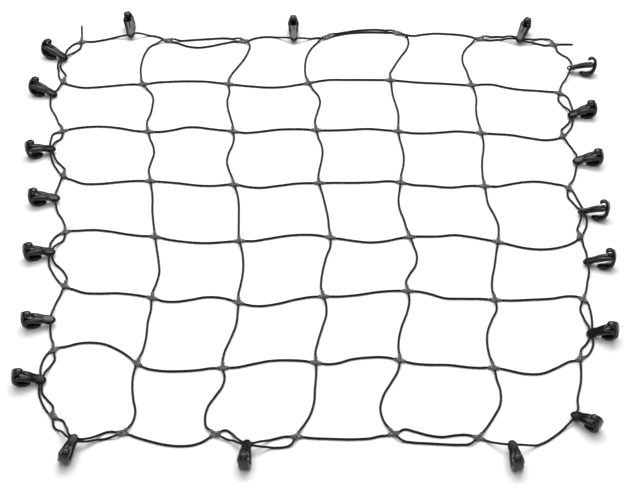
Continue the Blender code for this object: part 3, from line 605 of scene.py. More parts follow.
def smooth_plan(points, directions):
    """Cubic curve through the stations, DENSE fine steps to each, and its running length."""
    t = np.arange(DENSE) / DENSE
    weights = (2 * t**3 - 3 * t**2 + 1, t**3 - 2 * t**2 + t, 3 * t**2 - 2 * t**3, t**3 - t**2)
    span = np.linalg.norm(np.diff(points, axis=0), axis=1)[:, None, None]
    ends = (
        points[:-1, None],
        directions[:-1, None] * span,
        points[1:, None],
        directions[1:, None] * span,
    )
    curve = sum(weight[None, :, None] * end for weight, end in zip(weights, ends))
    plan = np.concatenate([curve.reshape(-1, 2), points[-1:]])
    return plan, running_length(plan)


def running_length(points):
    steps = np.linalg.norm(np.diff(points, axis=0), axis=1)
    return np.concatenate([[0.0], np.cumsum(steps)])


def fade(distance, length):
    """1 at no distance, 0 from the length onwards, smooth at both ends."""
    t = np.clip(distance / length, 0.0, 1.0)
    return 1 - t * t * (3 - 2 * t)


def eye_hump(along, height, slope, reach, climb):
    """Height over the ground beside an eye: straight within reach, then a cubic down to 0."""
    inside = height + slope * along
    side = np.sign(along)
    t = np.clip((np.abs(along) - reach) / climb, 0.0, 1.0)
    start, rise = height + slope * side * reach, slope * side * climb
    outside = start * (2 * t**3 - 3 * t**2 + 1) + rise * (t**3 - 2 * t**2 + t)
    return np.where(np.abs(along) < reach, inside, outside)


def cord_path(hooks):
    """The whole cord's points in fine steps, and the share of its full radius at each."""
    points, directions, marks = plan_stations(cord_stops(), hooks)
    plan, length = smooth_plan(points, directions)
    height = np.full(len(length), CORD_RADIUS * MM)
    share = np.ones(len(length))
    for station, stop, towards in marks:
        middle = (length[station * DENSE] + length[(station + 1) * DENSE]) / 2
        away = np.abs(length - middle)
        if stop[0] == "clip":
            level = ROW_HEIGHT if stop[3] == "row" else COLUMN_HEIGHT
            height += (level - CORD_RADIUS) * MM * fade(away - PINCH_REACH * MM, CLIMB * MM)
            share -= (1 - CORD_PINCH) * fade(away - PINCH_REACH * MM, PINCH_FADE * MM)
            continue
        turn = hooks[stop[1]]
        slope = turn[2, :2] @ np.linalg.solve(turn[:2, :2], towards)
        seat = turn[2, 3] + turn[2, 0] * stop[2] * EYE_SEAT * MM - CORD_RADIUS * MM
        climb = max(EYE_CLIMB * MM, EYE_FALL * seat)
        height += eye_hump(length - middle, seat, slope, EYE_REACH * MM, climb)
    return np.column_stack([plan, height]), share


def crossing_directions(hooks):
    """For each crossing, the angles at which the row's and the column's cord pass it."""
    stops = cord_stops()
    angles = {}
    for _, stop, towards in plan_stations(stops, hooks)[2]:
        if stop[0] == "clip":
            angles[stop[1:]] = math.atan2(towards[1], towards[0])
    return angles


# ---------------------------------------------------------------- surfaces


def spline(table, count):
    """Natural cubic spline through the table's rows, at count even shares of the chord length
    of its points. Its second slopes m solve h0 m0 + 2 (h0 + h1) m1 + h1 m2 = 6 (d1 - d0)."""
    rows = np.array(table, float)
    points = rows if rows.shape[1] < 4 else rows[:, :2]
    knots = running_length(points)
    step = np.diff(knots)[:, None]
    slope = np.diff(rows, axis=0) / step
    size = len(rows)
    matrix = np.eye(size)
    inner = np.arange(1, size - 1)
    matrix[inner, inner - 1] = step[:-1, 0]
    matrix[inner, inner] = 2 * (step[:-1, 0] + step[1:, 0])
    matrix[inner, inner + 1] = step[1:, 0]
    target = np.zeros_like(rows)
    target[1:-1] = 6 * np.diff(slope, axis=0)
    bend = np.linalg.solve(matrix, target)
    at = np.linspace(0, knots[-1], count)
    i = np.clip(np.searchsorted(knots, at, side="right") - 1, 0, size - 2)
    h, t = step[i], (at - knots[i])[:, None]
    cubic = (bend[i + 1] - bend[i]) / (6 * h)
    linear = slope[i] - h * (2 * bend[i] + bend[i + 1]) / 6
    return rows[i] + t * (linear + t * (bend[i] / 2 + t * cubic))


def directions_along(points):
    run = np.gradient(points, axis=0)
    return run / np.linalg.norm(run, axis=1, keepdims=True)


def patch(grid, ends="capped", unwrap=None):
    """A closed shell from a grid of rings: quads between neighbouring rings, and round each
    ring. The ends are "capped" by a point amid each end ring, or "joined" to each other.
    unwrap is how much the map's u grows from column to column, and its v from ring to ring. A
    shell whose volume, the sum of a . (b x c) / 6 over its triangles, is negative has its faces
    turned round."""
    rings, around, _ = grid.shape
    points = grid.reshape(-1, 3)
    last = rings if ends == "joined" else rings - 1
    i, j = (a.ravel() for a in np.meshgrid(np.arange(last), np.arange(around), indexing="ij"))
    corners = [(i, j), (i, j + 1), (i + 1, j + 1), (i + 1, j)]
    quads = np.stack([(a % rings) * around + b % around for a, b in corners], axis=1)
    places = np.stack([np.stack([b, a], axis=1) for a, b in corners], axis=1).astype(float)
    triangles = np.zeros((0, 3), int)
    spots = np.zeros((0, 3, 2))
    if ends == "capped":
        points = np.concatenate([points, grid[:1].mean(axis=1), grid[-1:].mean(axis=1)])
        k = np.arange(around)
        top = (rings - 1) * around
        after = (k + 1) % around
        near = [np.full(around, rings * around), after, k]
        far = [np.full(around, rings * around + 1), top + k, top + after]
        triangles = np.concatenate([np.stack(near, axis=1), np.stack(far, axis=1)])
        first, end = np.zeros(around), np.full(around, rings - 1.0)
        caps = (((k, first), (k + 1, first), (k, first)), ((k, end), (k, end), (k + 1, end)))
        spots = [np.stack([np.stack(spot, axis=1) for spot in cap], axis=1) for cap in caps]
        spots = np.concatenate(spots)
    a, b, c, d = (points[quads[:, n]] for n in range(4))
    volume = (a * np.cross(b, c)).sum() + (a * np.cross(c, d)).sum()
    a, b, c = (points[triangles[:, n]] for n in range(3))
    if volume + (a * np.cross(b, c)).sum() < 0:
        quads, places = quads[:, ::-1], places[:, ::-1]
        triangles, spots = triangles[:, ::-1], spots[:, ::-1]
    scale = np.ones(2) if unwrap is None else np.asarray(unwrap, float)
    return points, quads, triangles, places * scale, spots * scale


def moved(shell, matrix):
    """The shell carried to its place by a 4 by 4 matrix."""
    return shell[0] @ matrix[:3, :3].T + matrix[:3, 3], *shell[1:]


def join(shells):
    """Several shells' points, quads and triangles, and their maps, as one."""
    first = np.cumsum([0] + [len(shell[0]) for shell in shells[:-1]])
    return (
        np.concatenate([shell[0] for shell in shells]),
        np.concatenate([shell[1] + start for shell, start in zip(shells, first)]),
        np.concatenate([shell[2] + start for shell, start in zip(shells, first)]),
        np.concatenate([shell[3] for shell in shells]),
        np.concatenate([shell[4] for shell in shells]),
    )


def make_piece(name, shell, material, map_name=None):
    """A smooth mesh object at the origin, with the shell's quads first and then its triangles."""
    points, quads, triangles, places, spots = shell
    mesh = bpy.data.meshes.new(name)
    mesh.vertices.add(len(points))
    mesh.vertices.foreach_set("co", points.astype(np.float32).ravel())
    loops = np.concatenate([quads.ravel(), triangles.ravel()]).astype(np.int32)
    mesh.loops.add(len(loops))
    mesh.loops.foreach_set("vertex_index", loops)
    sizes = np.concatenate([np.full(len(quads), 4), np.full(len(triangles), 3)])
    mesh.polygons.add(len(sizes))
    starts = np.concatenate([[0], np.cumsum(sizes)[:-1]]).astype(np.int32)
    mesh.polygons.foreach_set("loop_start", starts)
    mesh.update(calc_edges=True)
    mesh.validate()
    mesh.polygons.foreach_set("use_smooth", np.ones(len(sizes), bool))
    if map_name:
        layer = mesh.uv_layers.new(name=map_name)
        flat = np.concatenate([places.reshape(-1, 2), spots.reshape(-1, 2)])
        layer.data.foreach_set("uv", flat.astype(np.float32).ravel())
    mesh.materials.append(material)
    thing = bpy.data.objects.new(name, mesh)
    bpy.context.scene.collection.objects.link(thing)
    return thing


# ---------------------------------------------------------------- the cord's surface


def even_cord(path, share, step):
    """The path's points and radius shares at even steps of its own length, and the step that
    fits the length a whole number of times."""
    length = running_length(path)
    at = np.linspace(0.0, length[-1], round(length[-1] / step) + 1)
    points = np.column_stack([np.interp(at, length, path[:, k]) for k in range(3)])
    return points, np.interp(at, length, share), at[1]


def tube_rings(points, radii, sides):
    """Rings round a path: centre + r (cos a * level + sin a * up), where level is square to the
    path and to Z, and up is the path's direction crossed with it."""
    along = directions_along(points)
    level = np.stack([-along[:, 1], along[:, 0], np.zeros(len(along))], axis=1)
    level /= np.linalg.norm(level, axis=1, keepdims=True)
    up = np.cross(along, level)
    turn = 2 * np.pi * np.arange(sides) / sides
    ring = np.cos(turn)[None, :, None] * level[:, None] + np.sin(turn)[None, :, None] * up[:, None]
    return points[:, None] + radii[:, None, None] * ring


# ---------------------------------------------------------------- the hook's surface


def strip_frame(rows):
    """A strip's middle line in the XZ plane, and the direction square to it there."""
    run = directions_along(rows[:, :2])
    middle = np.stack([rows[:, 0], np.zeros(len(rows)), rows[:, 1]], axis=1)
    square = np.stack([-run[:, 1], np.zeros(len(rows)), run[:, 0]], axis=1)
    return middle, square


def round_section():
    """Places round a flat section, over it and back under it, as shares of the half width, and
    the side of each: 1 over, -1 under."""
    half = np.array(ACROSS)
    over = np.concatenate([-half[:0:-1], half])
    under = over[-2:0:-1]
    side = np.concatenate([np.ones(len(over)), -np.ones(len(under))])
    return np.concatenate([over, under]), side


def section_grid(rows, power, carve=None):
    """Sections along a strip. At a share y of the half width the faces stand at plus and minus
    half the thickness times (1 - |y|^power)^(1/power). carve(x, across, half width) sinks the
    upper face, in mm, and less where the section is under half as thick as at its middle."""
    middle, square = strip_frame(rows)
    y, side = round_section()
    bulge = (1 - np.abs(y) ** power) ** (1 / power)
    across = y[None, :] * rows[:, 2:3] / 2
    lift = side * bulge * rows[:, 3:4] / 2
    if carve is not None:
        depth = carve(rows[:, 0:1], across, rows[:, 2:3] / 2)
        lift = lift - depth * (side > 0) * np.minimum(1.0, 2 * bulge)
    grid = middle[:, None] + square[:, None] * lift[:, :, None]
    grid[:, :, 1] = across
    return grid * MM


def round_ends(rows, first, last):
    """Rows with both ends drawn in to a rounded tip: each added row stands a share s further
    out and is (1 - s^2)^0.5 as wide and thick."""
    shares = np.array(TIP_SHARES)
    keep = np.sqrt(1 - shares**2)[:, None]
    run = directions_along(rows[:, :2])
    out = []
    for row, way, reach in ((rows[0], -run[0], first), (rows[-1], run[-1], last)):
        middle = row[:2] + way * (shares[:, None] * reach)
        out.append(np.concatenate([middle, row[2:] * keep], axis=1))
    return np.concatenate([out[0][::-1], rows, out[1]])


def strip_shell(rows, strip, carve=None):
    _, power, tips = strip
    return patch(section_grid(round_ends(rows, *tips), power, carve))


def bell(x, height, middle, reach):
    """height exp(-((x - middle) / reach)^2)"""
    return height * np.exp(-(((x - middle) / reach) ** 2))


def shank_carving(x, y, half):
    """How deep the shank's upper face is cut, in mm: a groove along its middle, a shallow line
    inside each edge, and a pocket under the small prong, deep (1 - far^4)^2 where far is 1 at
    the pocket's border."""

    def run(rise, end, fall):
        return (1 - fade(x - CUTS_FROM, rise)) * fade(x - end, fall)

    depth, reach, along = GROOVE
    groove = bell(y, depth, 0.0, reach) * run(*along)
    depth, reach, along = EDGE_LINE
    edge = bell(np.abs(y), depth, EDGE_SHARE * half, reach) * run(*along)
    depth, middle, long, wide = POCKET
    far = ((x - middle) / long) ** 2 + (y / wide) ** 2
    return groove + edge + depth * np.clip(1 - far * far, 0, 1) ** 2


def eye_grid():
    """The ring round the cord's slot, between an inner loop |x / a|^p + |z / b|^p = 1 and an
    outer one of that kind, which reaches into the shank. Its section is flat inside; outside it
    stands out by (1 - |y|^3)^(1/3) of the distance between them, at a share y of the width."""
    turn = 2 * np.pi * (np.arange(RING_PLACES) + 0.5) / RING_PLACES
    cos, sin = np.cos(turn), np.sin(turn)

    def loop(a, b, power):
        size = (np.abs(cos / a) ** power + np.abs(sin / b) ** power) ** (-1 / power)
        return np.stack([size * cos, size * sin], axis=1)

    inner = loop(*SLOT_LOOP)
    outer = loop(np.where(cos < 0, *RING_REACH), RING_HALF, np.where(cos < 0, *RING_POWERS))
    outer[:, 1] += np.interp(outer[:, 0], *np.array(RING_LIFT).T)
    y, side = round_section()
    bulge = np.where(side > 0, (1 - np.abs(y) ** 3.0) ** (1 / 3.0), 0.0)
    flat = inner[:, None] + (outer - inner)[:, None] * bulge[None, :, None]
    width = np.interp(outer[:, 0], *np.array(RING_WIDTH).T)[:, None] * y
    return np.stack([flat[:, :, 0], width, flat[:, :, 1]], axis=2) * MM


def outer_rows(prongs, shares):
    """Points on the prongs' outer side at shares of their length, PLATE_SINK under the face: by
    its first value where the plate starts, and evenly on to its second where the plate ends."""
    middle, square = strip_frame(prongs)
    length = running_length(prongs[:, :2])
    reach = (PLATE[0][0] * length[-1], PLATE[-1][0] * length[-1])
    sink = np.interp(length, reach, PLATE_SINK)[:, None]
    outer = (middle + square * (prongs[:, 3:4] / 2 - sink))[:, [0, 2]]
    at = np.asarray(shares) * length[-1]
    return np.stack([np.interp(at, length, outer[:, k]) for k in range(2)], axis=1)


def plate_rows(prongs):
    """The plate's strip: x, z, width and thickness, as for the prongs."""
    shares, widths = np.array(PLATE).T
    at = np.linspace(shares[0], shares[-1], PLATE_STRIP[0])
    width = np.interp(at, shares, widths)[:, None]
    return np.concatenate([outer_rows(prongs, at), width, np.full_like(width, PLATE_THICK)], axis=1)


def rim_rings():
    """The rim, from one end round the head to the other. Its radius falls off at both ends as
    sin^THIN_END."""
    half = np.array(RIM)
    line = spline(np.concatenate([half[:-1], half[::-1] * (1, -1, 1)]), RIM_PLACES) * MM
    turn = np.linspace(*RIM_ARC, RIM_PLACES)
    radii = RIM_RADIUS * MM * np.sin(turn) ** THIN_END
    return tube_rings(line, radii, THIN_SIDES)


def spine_rings(prongs):
    """The spine, SPINE_HALF wide to each side of its line. Its height falls off at both ends as
    sin^THIN_END, and has a peak."""
    t = np.linspace(0, 1, SPINE_PLACES)
    start, end = SPINE_RUN
    line = outer_rows(prongs, start + (end - start) * t)
    line = np.stack([line[:, 0], 0 * t, line[:, 1]], axis=1) * MM
    along = directions_along(line)
    square = np.stack([-along[:, 2], np.zeros(len(along)), along[:, 0]], axis=1)
    fall = np.sin(SPINE_ARC[0] + t * (SPINE_ARC[1] - SPINE_ARC[0])) ** THIN_END
    heights = (SPINE_HEIGHT + bell(t, *SPINE_PEAK)) * fall * MM
    turn = 2 * np.pi * np.arange(THIN_SIDES) / THIN_SIDES
    grid = line[:, None] + np.sin(turn)[None, :, None] * square[:, None] * heights[:, None, None]
    grid[:, :, 1] += np.cos(turn) * SPINE_HALF * MM
    return grid


def hook_shell():
    """One hook about its eye: eye ring, shank with its head, both prongs, plate, rim, spine."""
    shank = spline(SHANK_LOOK, SHANK_STRIP[0])
    prongs = spline(PRONGS_LOOK, PRONGS_STRIP[0])
    return join(
        [
            patch(eye_grid(), ends="joined"),
            strip_shell(shank, SHANK_STRIP, shank_carving),
            strip_shell(prongs, PRONGS_STRIP),
            strip_shell(plate_rows(prongs), PLATE_STRIP),
            patch(rim_rings()),
            patch(spine_rings(prongs)),
        ]
    )


def stand_on_ground(shell, matrix):
    """The hook in its place, bent down a little towards its prongs so that it rests on the
    ground, and flat where it touches. The drop grows as the smooth step of x / REST_LENGTH."""
    weight = 1 - fade(shell[0][:, 0] / (REST_LENGTH * MM), 1.0)
    points, *faces = moved(shell, matrix)
    drop = max(points[:, 2].min() + REST_DEPTH * MM, 0)
    points[:, 2] = np.maximum(points[:, 2] - drop * weight, GROUND_GAP * MM)
    return points, *faces


# ---------------------------------------------------------------- the clip's surface


def sleeve_grid():
    """A folded sleeve along X round a cord at the origin: rings at each place of its outside
    and, coming back, of its bore. The outside stands out by a ridge along its top, where the
    folded edges meet, with a groove at each side, and both fade towards the sleeve's ends."""
    outside, bore = mirrored(SLEEVE), mirrored(SLEEVE_BORE)[::-1]
    line = np.concatenate([outside, bore])
    half = np.array(SEAM_ROUND, float)
    angle = np.concatenate([half, -half[-2:0:-1]])
    seam = bell(np.abs(angle), *SEAM_RIDGE) + bell(np.abs(angle), *SEAM_GROOVE)
    strength = fade(np.abs(outside[:, 0]) - SEAM_END[0], SEAM_END[1])
    strength = np.concatenate([strength, np.zeros(len(bore))])
    radius = line[:, 1:2] + seam * strength[:, None]
    x = np.broadcast_to(line[:, 0:1], radius.shape)
    turn = np.radians(angle)
    return np.stack([x, radius * np.sin(turn), radius * np.cos(turn)], axis=2) * MM


def mirrored(half):
    """A table from the middle outwards, as a run from one side to the other. A first row at 0
    is used once."""
    half = np.array(half, float)
    start = 1 if half[0, 0] == 0 else 0
    return np.concatenate([half[::-1] * (-1, 1), half[start:]])


def hub_grid():
    """A pressed cushion where the sleeves cross: plan |x|^p + |y|^p = reach^p, and to each side
    of its middle HUB_HALF (1 - s^3)^0.5 high, s from 0 at its centre to 1 at its rim."""
    turn = 2 * np.pi * np.arange(HUB_ROUND) / HUB_ROUND
    cos, sin = np.cos(turn), np.sin(turn)
    reach = (np.abs(cos) ** HUB_POWER + np.abs(sin) ** HUB_POWER) ** (-1 / HUB_POWER)
    half = np.array(HUB_SHARES)
    shares = np.concatenate([half, [1.0], half[::-1]])
    side = np.concatenate([np.ones(len(half)), [0], -np.ones(len(half))])
    height = HUB_MIDDLE + HUB_HALF * side * np.sqrt(1 - shares**3)
    plan = HUB_REACH * shares[:, None, None] * reach[None, :, None]
    plan = plan * np.stack([cos, sin], axis=1)[None]
    heights = np.broadcast_to(height[:, None, None], (*plan.shape[:2], 1))
    return np.concatenate([plan, heights], axis=2) * MM


def turn_and_raise(angle, level):
    matrix = np.array(Matrix.Rotation(angle, 4, "Z"))
    matrix[2, 3] = level * MM
    return matrix


def clip_shell(row_angle, column_angle):
    """A cross clip about its crossing: a sleeve along the row's cord, one along the column's
    above it, and the hub between. What would lie under the ground is pressed flat on it."""
    sleeve = patch(sleeve_grid(), ends="joined")
    middle = row_angle + math.remainder(column_angle - row_angle - math.pi / 2, math.pi) / 2
    points, *faces = join(
        [
            moved(sleeve, turn_and_raise(row_angle, ROW_HEIGHT)),
            moved(sleeve, turn_and_raise(column_angle, COLUMN_HEIGHT)),
            moved(patch(hub_grid()), turn_and_raise(middle, 0)),
        ]
    )
    points[:, 2] = np.maximum(points[:, 2], GROUND_GAP * MM)
    return points, *faces


# ---------------------------------------------------------------- materials
CORD_MAP = "cord_map"  # the cord's map: u once round it, v in metres along it
# Painted shade: the sheath's darker colour in the dips between the braid's strands.
STRAND_GAP_SHADE = (0.003, 0.003, 0.0033)
PALE_FIBRES = (0.03, 0.03, 0.03)
YARNS = 5  # fine yarns side by side in a strand of the braid


class Wire:
    """A number on a node's socket. Python's arithmetic on it adds Math nodes."""

    def __init__(self, nodes, socket):
        self.nodes, self.socket = nodes, socket

    def math(self, operation, *values):
        return self.nodes.add("ShaderNodeMath", {"operation": operation}, *values)

    def __add__(self, other):
        return self.math("ADD", self, other)

    def __sub__(self, other):
        return self.math("SUBTRACT", self, other)

    def __rsub__(self, other):
        return self.math("SUBTRACT", other, self)

    def __mul__(self, other):
        return self.math("MULTIPLY", self, other)

    def __truediv__(self, other):
        return self.math("DIVIDE", self, other)

    def __rtruediv__(self, other):
        return self.math("DIVIDE", other, self)

    def __abs__(self):
        return self.math("ABSOLUTE", self)

    __radd__ = __add__
    __rmul__ = __mul__

    def sine(self):
        return self.math("SINE", self)

    def between(self, low, high):
        """0 under low, 1 over high, and smooth from one to the other."""
        settings = {"interpolation_type": "SMOOTHSTEP"}
        return self.nodes.add("ShaderNodeMapRange", settings, self, low, high, 0.0, 1.0)


class Nodes:
    """A tree's nodes: add() makes one, sets it up, and fills its sockets in order."""

    def __init__(self, tree):
        self.tree = tree

    def add(self, kind, settings, *values, output=0, **named):
        node = self.tree.nodes.new(kind)
        for key, value in settings.items():
            setattr(node, key, value)
        for key, value in [*enumerate(values), *named.items()]:
            self.fill(node.inputs[key], value)
        return Wire(self, node.outputs[output])

    def fill(self, socket, value):
        if isinstance(value, Wire):
            self.tree.links.new(value.socket, socket)
        elif value is not None:
            socket.default_value = value

    def split(self, vector):
        """A vector's X, Y and Z."""
        node = self.tree.nodes.new("ShaderNodeSeparateXYZ")
        self.fill(node.inputs[0], vector)
        return [Wire(self, output) for output in node.outputs]

    def noise(self, vector, scale, detail=2.0, roughness=0.5):
        sockets = {"Vector": vector, "Scale": scale, "Detail": detail, "Roughness": roughness}
        return self.add("ShaderNodeTexNoise", {"noise_dimensions": "3D"}, **sockets)

    def colour(self, share, first, second):
        """A colour between two, by a share from 0 to 1."""
        node = self.tree.nodes.new("ShaderNodeMix")
        node.data_type = "RGBA"
        self.fill(node.inputs["Factor"], share)
        for name, value in (("A", first), ("B", second)):
            socket = [s for s in node.inputs if s.name == name and s.type == "RGBA"][0]
            self.fill(socket, value if isinstance(value, Wire) else (*value, 1.0))
        return Wire(self, [s for s in node.outputs if s.type == "RGBA"][0])

    def bump(self, height, strength, distance):
        sockets = {"Strength": strength, "Distance": distance, "Height": height}
        return self.add("ShaderNodeBump", {}, **sockets)


class MaterialNodes(Nodes):
    """The nodes of a new material, with its Principled shader."""

    def __init__(self, name):
        self.material = bpy.data.materials.new(name)
        self.material.use_nodes = True
        super().__init__(self.material.node_tree)
        self.shader = self.tree.nodes["Principled BSDF"]

    def object_place(self):
        return self.add("ShaderNodeTexCoord", {}, output="Object")

    def finish(self, **sockets):
        """Sets the shader's sockets, given as Base_Color for Base Color."""
        for name, value in sockets.items():
            self.fill(self.shader.inputs[name.replace("_", " ")], value)
        return self.material


def tinted(shade, share):
    """The colour made lighter or darker by a share."""
    return tuple(share * part for part in shade)


def cord_material(settings):
    """Braided sheath: two sets of strands wind round the cord, one each way. With a and b their
    running numbers, the height is |sin(pi a)| |sin(pi b)|, with fine yarns along each strand.
    Where that height is low, between the strands, the colour darkens as painted shade."""
    nodes = MaterialNodes("braided_cord")
    around, along, _ = nodes.split(nodes.add("ShaderNodeUVMap", {"uv_map": CORD_MAP}))
    strands = settings.strands
    turns = along / settings.pitch
    first = (around + turns) * strands
    second = (around - turns) * strands
    pips = abs((first * math.pi).sine()) * abs((second * math.pi).sine())
    yarns = (first * (YARNS * math.pi)).sine() * (second * (YARNS * math.pi)).sine()
    where = nodes.object_place()
    wear = nodes.noise(where, scale=55.0, detail=3.0)
    specks = nodes.noise(where, scale=900.0, detail=2.0).between(0.60, 0.72)
    # The colour darkens to the painted shade where the braid dips between its strands, mixed with
    # random wear.
    share = pips.between(0.15, 0.85) * 0.7 + wear * 0.3
    base = nodes.colour(share, STRAND_GAP_SHADE, tuple(settings.colour))
    base = nodes.colour(specks * 0.3, base, PALE_FIBRES)
    height = pips + yarns * 0.08 + wear * 0.05
    return nodes.finish(
        Base_Color=base,
        Roughness=0.82 - pips * 0.2 + (wear - 0.5) * 0.1,
        Normal=nodes.bump(height, strength=0.9, distance=0.00045),
        Specular_IOR_Level=0.2,
        Sheen_Weight=0.1,
        Sheen_Roughness=0.5,
    )


def hook_material(settings):
    """Glossy moulded plastic: a faint ripple from the mould, finer grain, and dull scuffs."""
    nodes = MaterialNodes("glossy_plastic")
    where = nodes.object_place()
    ripple = nodes.noise(where, scale=70.0, detail=2.0)
    grain = nodes.noise(where, scale=1400.0, detail=2.0)
    scuffs = nodes.noise(where, scale=230.0, detail=4.0, roughness=0.7).between(0.56, 0.78)
    shade = tuple(settings.colour)
    base = nodes.colour(scuffs * 0.5 + ripple * 0.3, shade, tinted(shade, 1.9))
    height = ripple * 1.0 + grain * 0.06
    return nodes.finish(
        Base_Color=base,
        Roughness=settings.roughness + (ripple - 0.5) * 0.12 + scuffs * 0.12,
        Normal=nodes.bump(height, strength=0.35, distance=0.0006),
        Specular_IOR_Level=0.43,
    )


def clip_material(settings):
    """Dull stamped metal: fine brushing, cloudy tarnish and worn bright spots."""
    nodes = MaterialNodes("stamped_metal")
    where = nodes.object_place()
    cloud = nodes.noise(where, scale=160.0, detail=4.0, roughness=0.6)
    grain = nodes.noise(where, scale=1800.0, detail=3.0)
    shade = tuple(settings.colour)
    base = nodes.colour(cloud.between(0.3, 0.7), tinted(shade, 0.62), tinted(shade, 1.25))
    return nodes.finish(
        Base_Color=base,
        Roughness=settings.roughness + (cloud - 0.5) * 0.25 + (grain - 0.5) * 0.1,
        Metallic=0.85,
        Normal=nodes.bump(cloud * 0.6 + grain * 0.3, strength=0.3, distance=0.0004),
    )


def floor_material(settings):
    """Pale matt board with the faintest cloudiness."""
    nodes = MaterialNodes("pale_floor")
    where = nodes.object_place()
    cloud = nodes.noise(where, scale=1.5, detail=2.0)
    shade = tuple(settings.colour)
    base = nodes.colour(cloud, shade, tinted(shade, 0.985))
    return nodes.finish(Base_Color=base, Roughness=0.9, Specular_IOR_Level=0.2)


# ---------------------------------------------------------------- what a user may change


def length_setting(name, description, default, least):
    return FloatProperty(
        name=name,
        description=description,
        default=default,
        min=least,
        subtype="DISTANCE",
        unit="LENGTH",
    )


def power_setting(name, description, default):
    return FloatProperty(
        name=name,
        description=description,
        default=default,
        min=0.0,
        subtype="POWER",
        unit="POWER",
    )


def colour_setting(name, description, default):
    return FloatVectorProperty(
        name=name,
        description=description,
        default=default,
        subtype="COLOR",
        min=0.0,
        max=1.0,
    )


def roughness_setting(description, default):
    return FloatProperty(
        name="Roughness",
        description=description,
        default=default,
        min=0.02,
        max=1.0,
        subtype="FACTOR",
    )


class CordSettings(bpy.types.PropertyGroup):
    ring_step: length_setting("Ring Step", "Distance between the tube's rings", 0.004, 0.001)
    sides: IntProperty(name="Sides", description="Faces round the cord", default=12, min=6)
    strands: IntProperty(
        name="Strands", description="Braid strands wound each way", default=8, min=2
    )
    pitch: length_setting("Pitch", "Length in which a strand winds once round", 0.022, 0.002)
    colour: colour_setting(
        "Colour", "Sheath colour on top of the strands", (0.008, 0.008, 0.0085)
    )


class HookSettings(bpy.types.PropertyGroup):
    colour: colour_setting("Colour", "Plastic colour", (0.0025, 0.0028, 0.0038))
    roughness: roughness_setting("How far the plastic blurs what it mirrors", 0.22)


class ClipSettings(bpy.types.PropertyGroup):
    colour: colour_setting("Colour", "Metal colour", (0.145, 0.145, 0.15))
    roughness: roughness_setting("How far the metal blurs what it mirrors", 0.42)


class StageSettings(bpy.types.PropertyGroup):
    floor_size: length_setting("Floor Size", "Length of the floor's side", 40.0, 4.0)
    colour: colour_setting("Floor Colour", "Colour of the floor", (0.9, 0.9, 0.9))
    glow: FloatProperty(
        name="Room Light",
        description="Light from all round, most of it from above",
        default=1.55,
        min=0.0,
    )
    lamp_power: power_setting("Lamp Power", "Power of the wide lamp overhead", 155.0)
    fill_power: power_setting("Fill Power", "Power of the small lamp behind the net", 7.0)


class NetSettings(bpy.types.PropertyGroup):
    cord: PointerProperty(type=CordSettings)
    hook: PointerProperty(type=HookSettings)
    clip: PointerProperty(type=ClipSettings)
    stage: PointerProperty(type=StageSettings)


# ---------------------------------------------------------------- operators
SENSOR_WIDTH = 36.0
LENS = 100.01
CAMERA_PLACE = (0.0130, -3.0017, 2.6803)
CAMERA_TILT = 47.42  # up from straight down, degrees
CORD_TIP = (0.45, 0.93)  # shares of the radius at the first and second ring from a free end
# Each lamp's place, and its length in X and Y.
OVERHEAD = ((0.0, 2.0, 4.2), (5.2, 2.4))
FILL = ((0.9, 3.3, 2.5), (1.3, 1.6))
# The room's light, as a share of its full strength, from the sides and below. It grows by a
# whole share between two heights of the direction, 0 level and 1 straight up.
LOW_LIGHT = 0.1
BRIGHT_FROM = (0.55, 0.95)


class CARGONET_OT_camera(bpy.types.Operator):
    """Add the camera, in front of the net and above it"""

    bl_idname = "cargonet.camera"
    bl_label = "Camera"

    def execute(self, context):
        lens = bpy.data.cameras.new("camera")
        lens.sensor_width = SENSOR_WIDTH
        lens.lens = LENS
        camera = bpy.data.objects.new("camera", lens)
        camera.location = CAMERA_PLACE
        camera.rotation_euler = (math.radians(CAMERA_TILT), 0.0, 0.0)
        context.scene.collection.objects.link(camera)
        context.scene.camera = camera
        return {"FINISHED"}


class CARGONET_OT_cord(bpy.types.Operator):
    """Add the one elastic cord, from end to end"""

    bl_idname = "cargonet.cord"
    bl_label = "Cord"

    def execute(self, context):
        settings = context.scene.cargo_net.cord
        path, share = cord_path(hook_places())
        points, share, step = even_cord(path, share, settings.ring_step)
        radii = share * CORD_RADIUS * MM
        radii[[0, -1]] *= CORD_TIP[0]
        radii[[1, -2]] *= CORD_TIP[1]
        rings = tube_rings(points, radii, settings.sides)
        rings[:, :, 2] = np.maximum(rings[:, :, 2], 0.0)
        shell = patch(rings, unwrap=(1 / settings.sides, step))
        cord = make_piece("elastic_cord", shell, cord_material(settings), CORD_MAP)
        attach(cord, "root")
        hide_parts(*[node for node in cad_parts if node.startswith("cord_")])
        return {"FINISHED"}


class CARGONET_OT_hooks(bpy.types.Operator):
    """Add the twenty hooks round the border"""

    bl_idname = "cargonet.hooks"
    bl_label = "Hooks"

    def execute(self, context):
        material = hook_material(context.scene.cargo_net.hook)
        shell = hook_shell()
        for name, matrix in hook_places().items():
            hook = make_piece(f"plastic_hook_{name}", stand_on_ground(shell, matrix), material)
            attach(hook, "root")
            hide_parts(f"hook_{name}")
        return {"FINISHED"}


class CARGONET_OT_clips(bpy.types.Operator):
    """Add the cross clips, one at each crossing"""

    bl_idname = "cargonet.clips"
    bl_label = "Clips"

    def execute(self, context):
        material = clip_material(context.scene.cargo_net.clip)
        angles = crossing_directions(hook_places())
        for row, line in enumerate(CROSSINGS):
            for column, point in enumerate(line):
                shell = clip_shell(angles[row, column, "row"], angles[row, column, "column"])
                shell[0][:, :2] += place(point)
                clip = make_piece(f"metal_clip_{row}_{column}", shell, material)
                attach(clip, "root")
                if f"clip_{row}_{column}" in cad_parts:
                    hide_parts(f"clip_{row}_{column}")
        return {"FINISHED"}


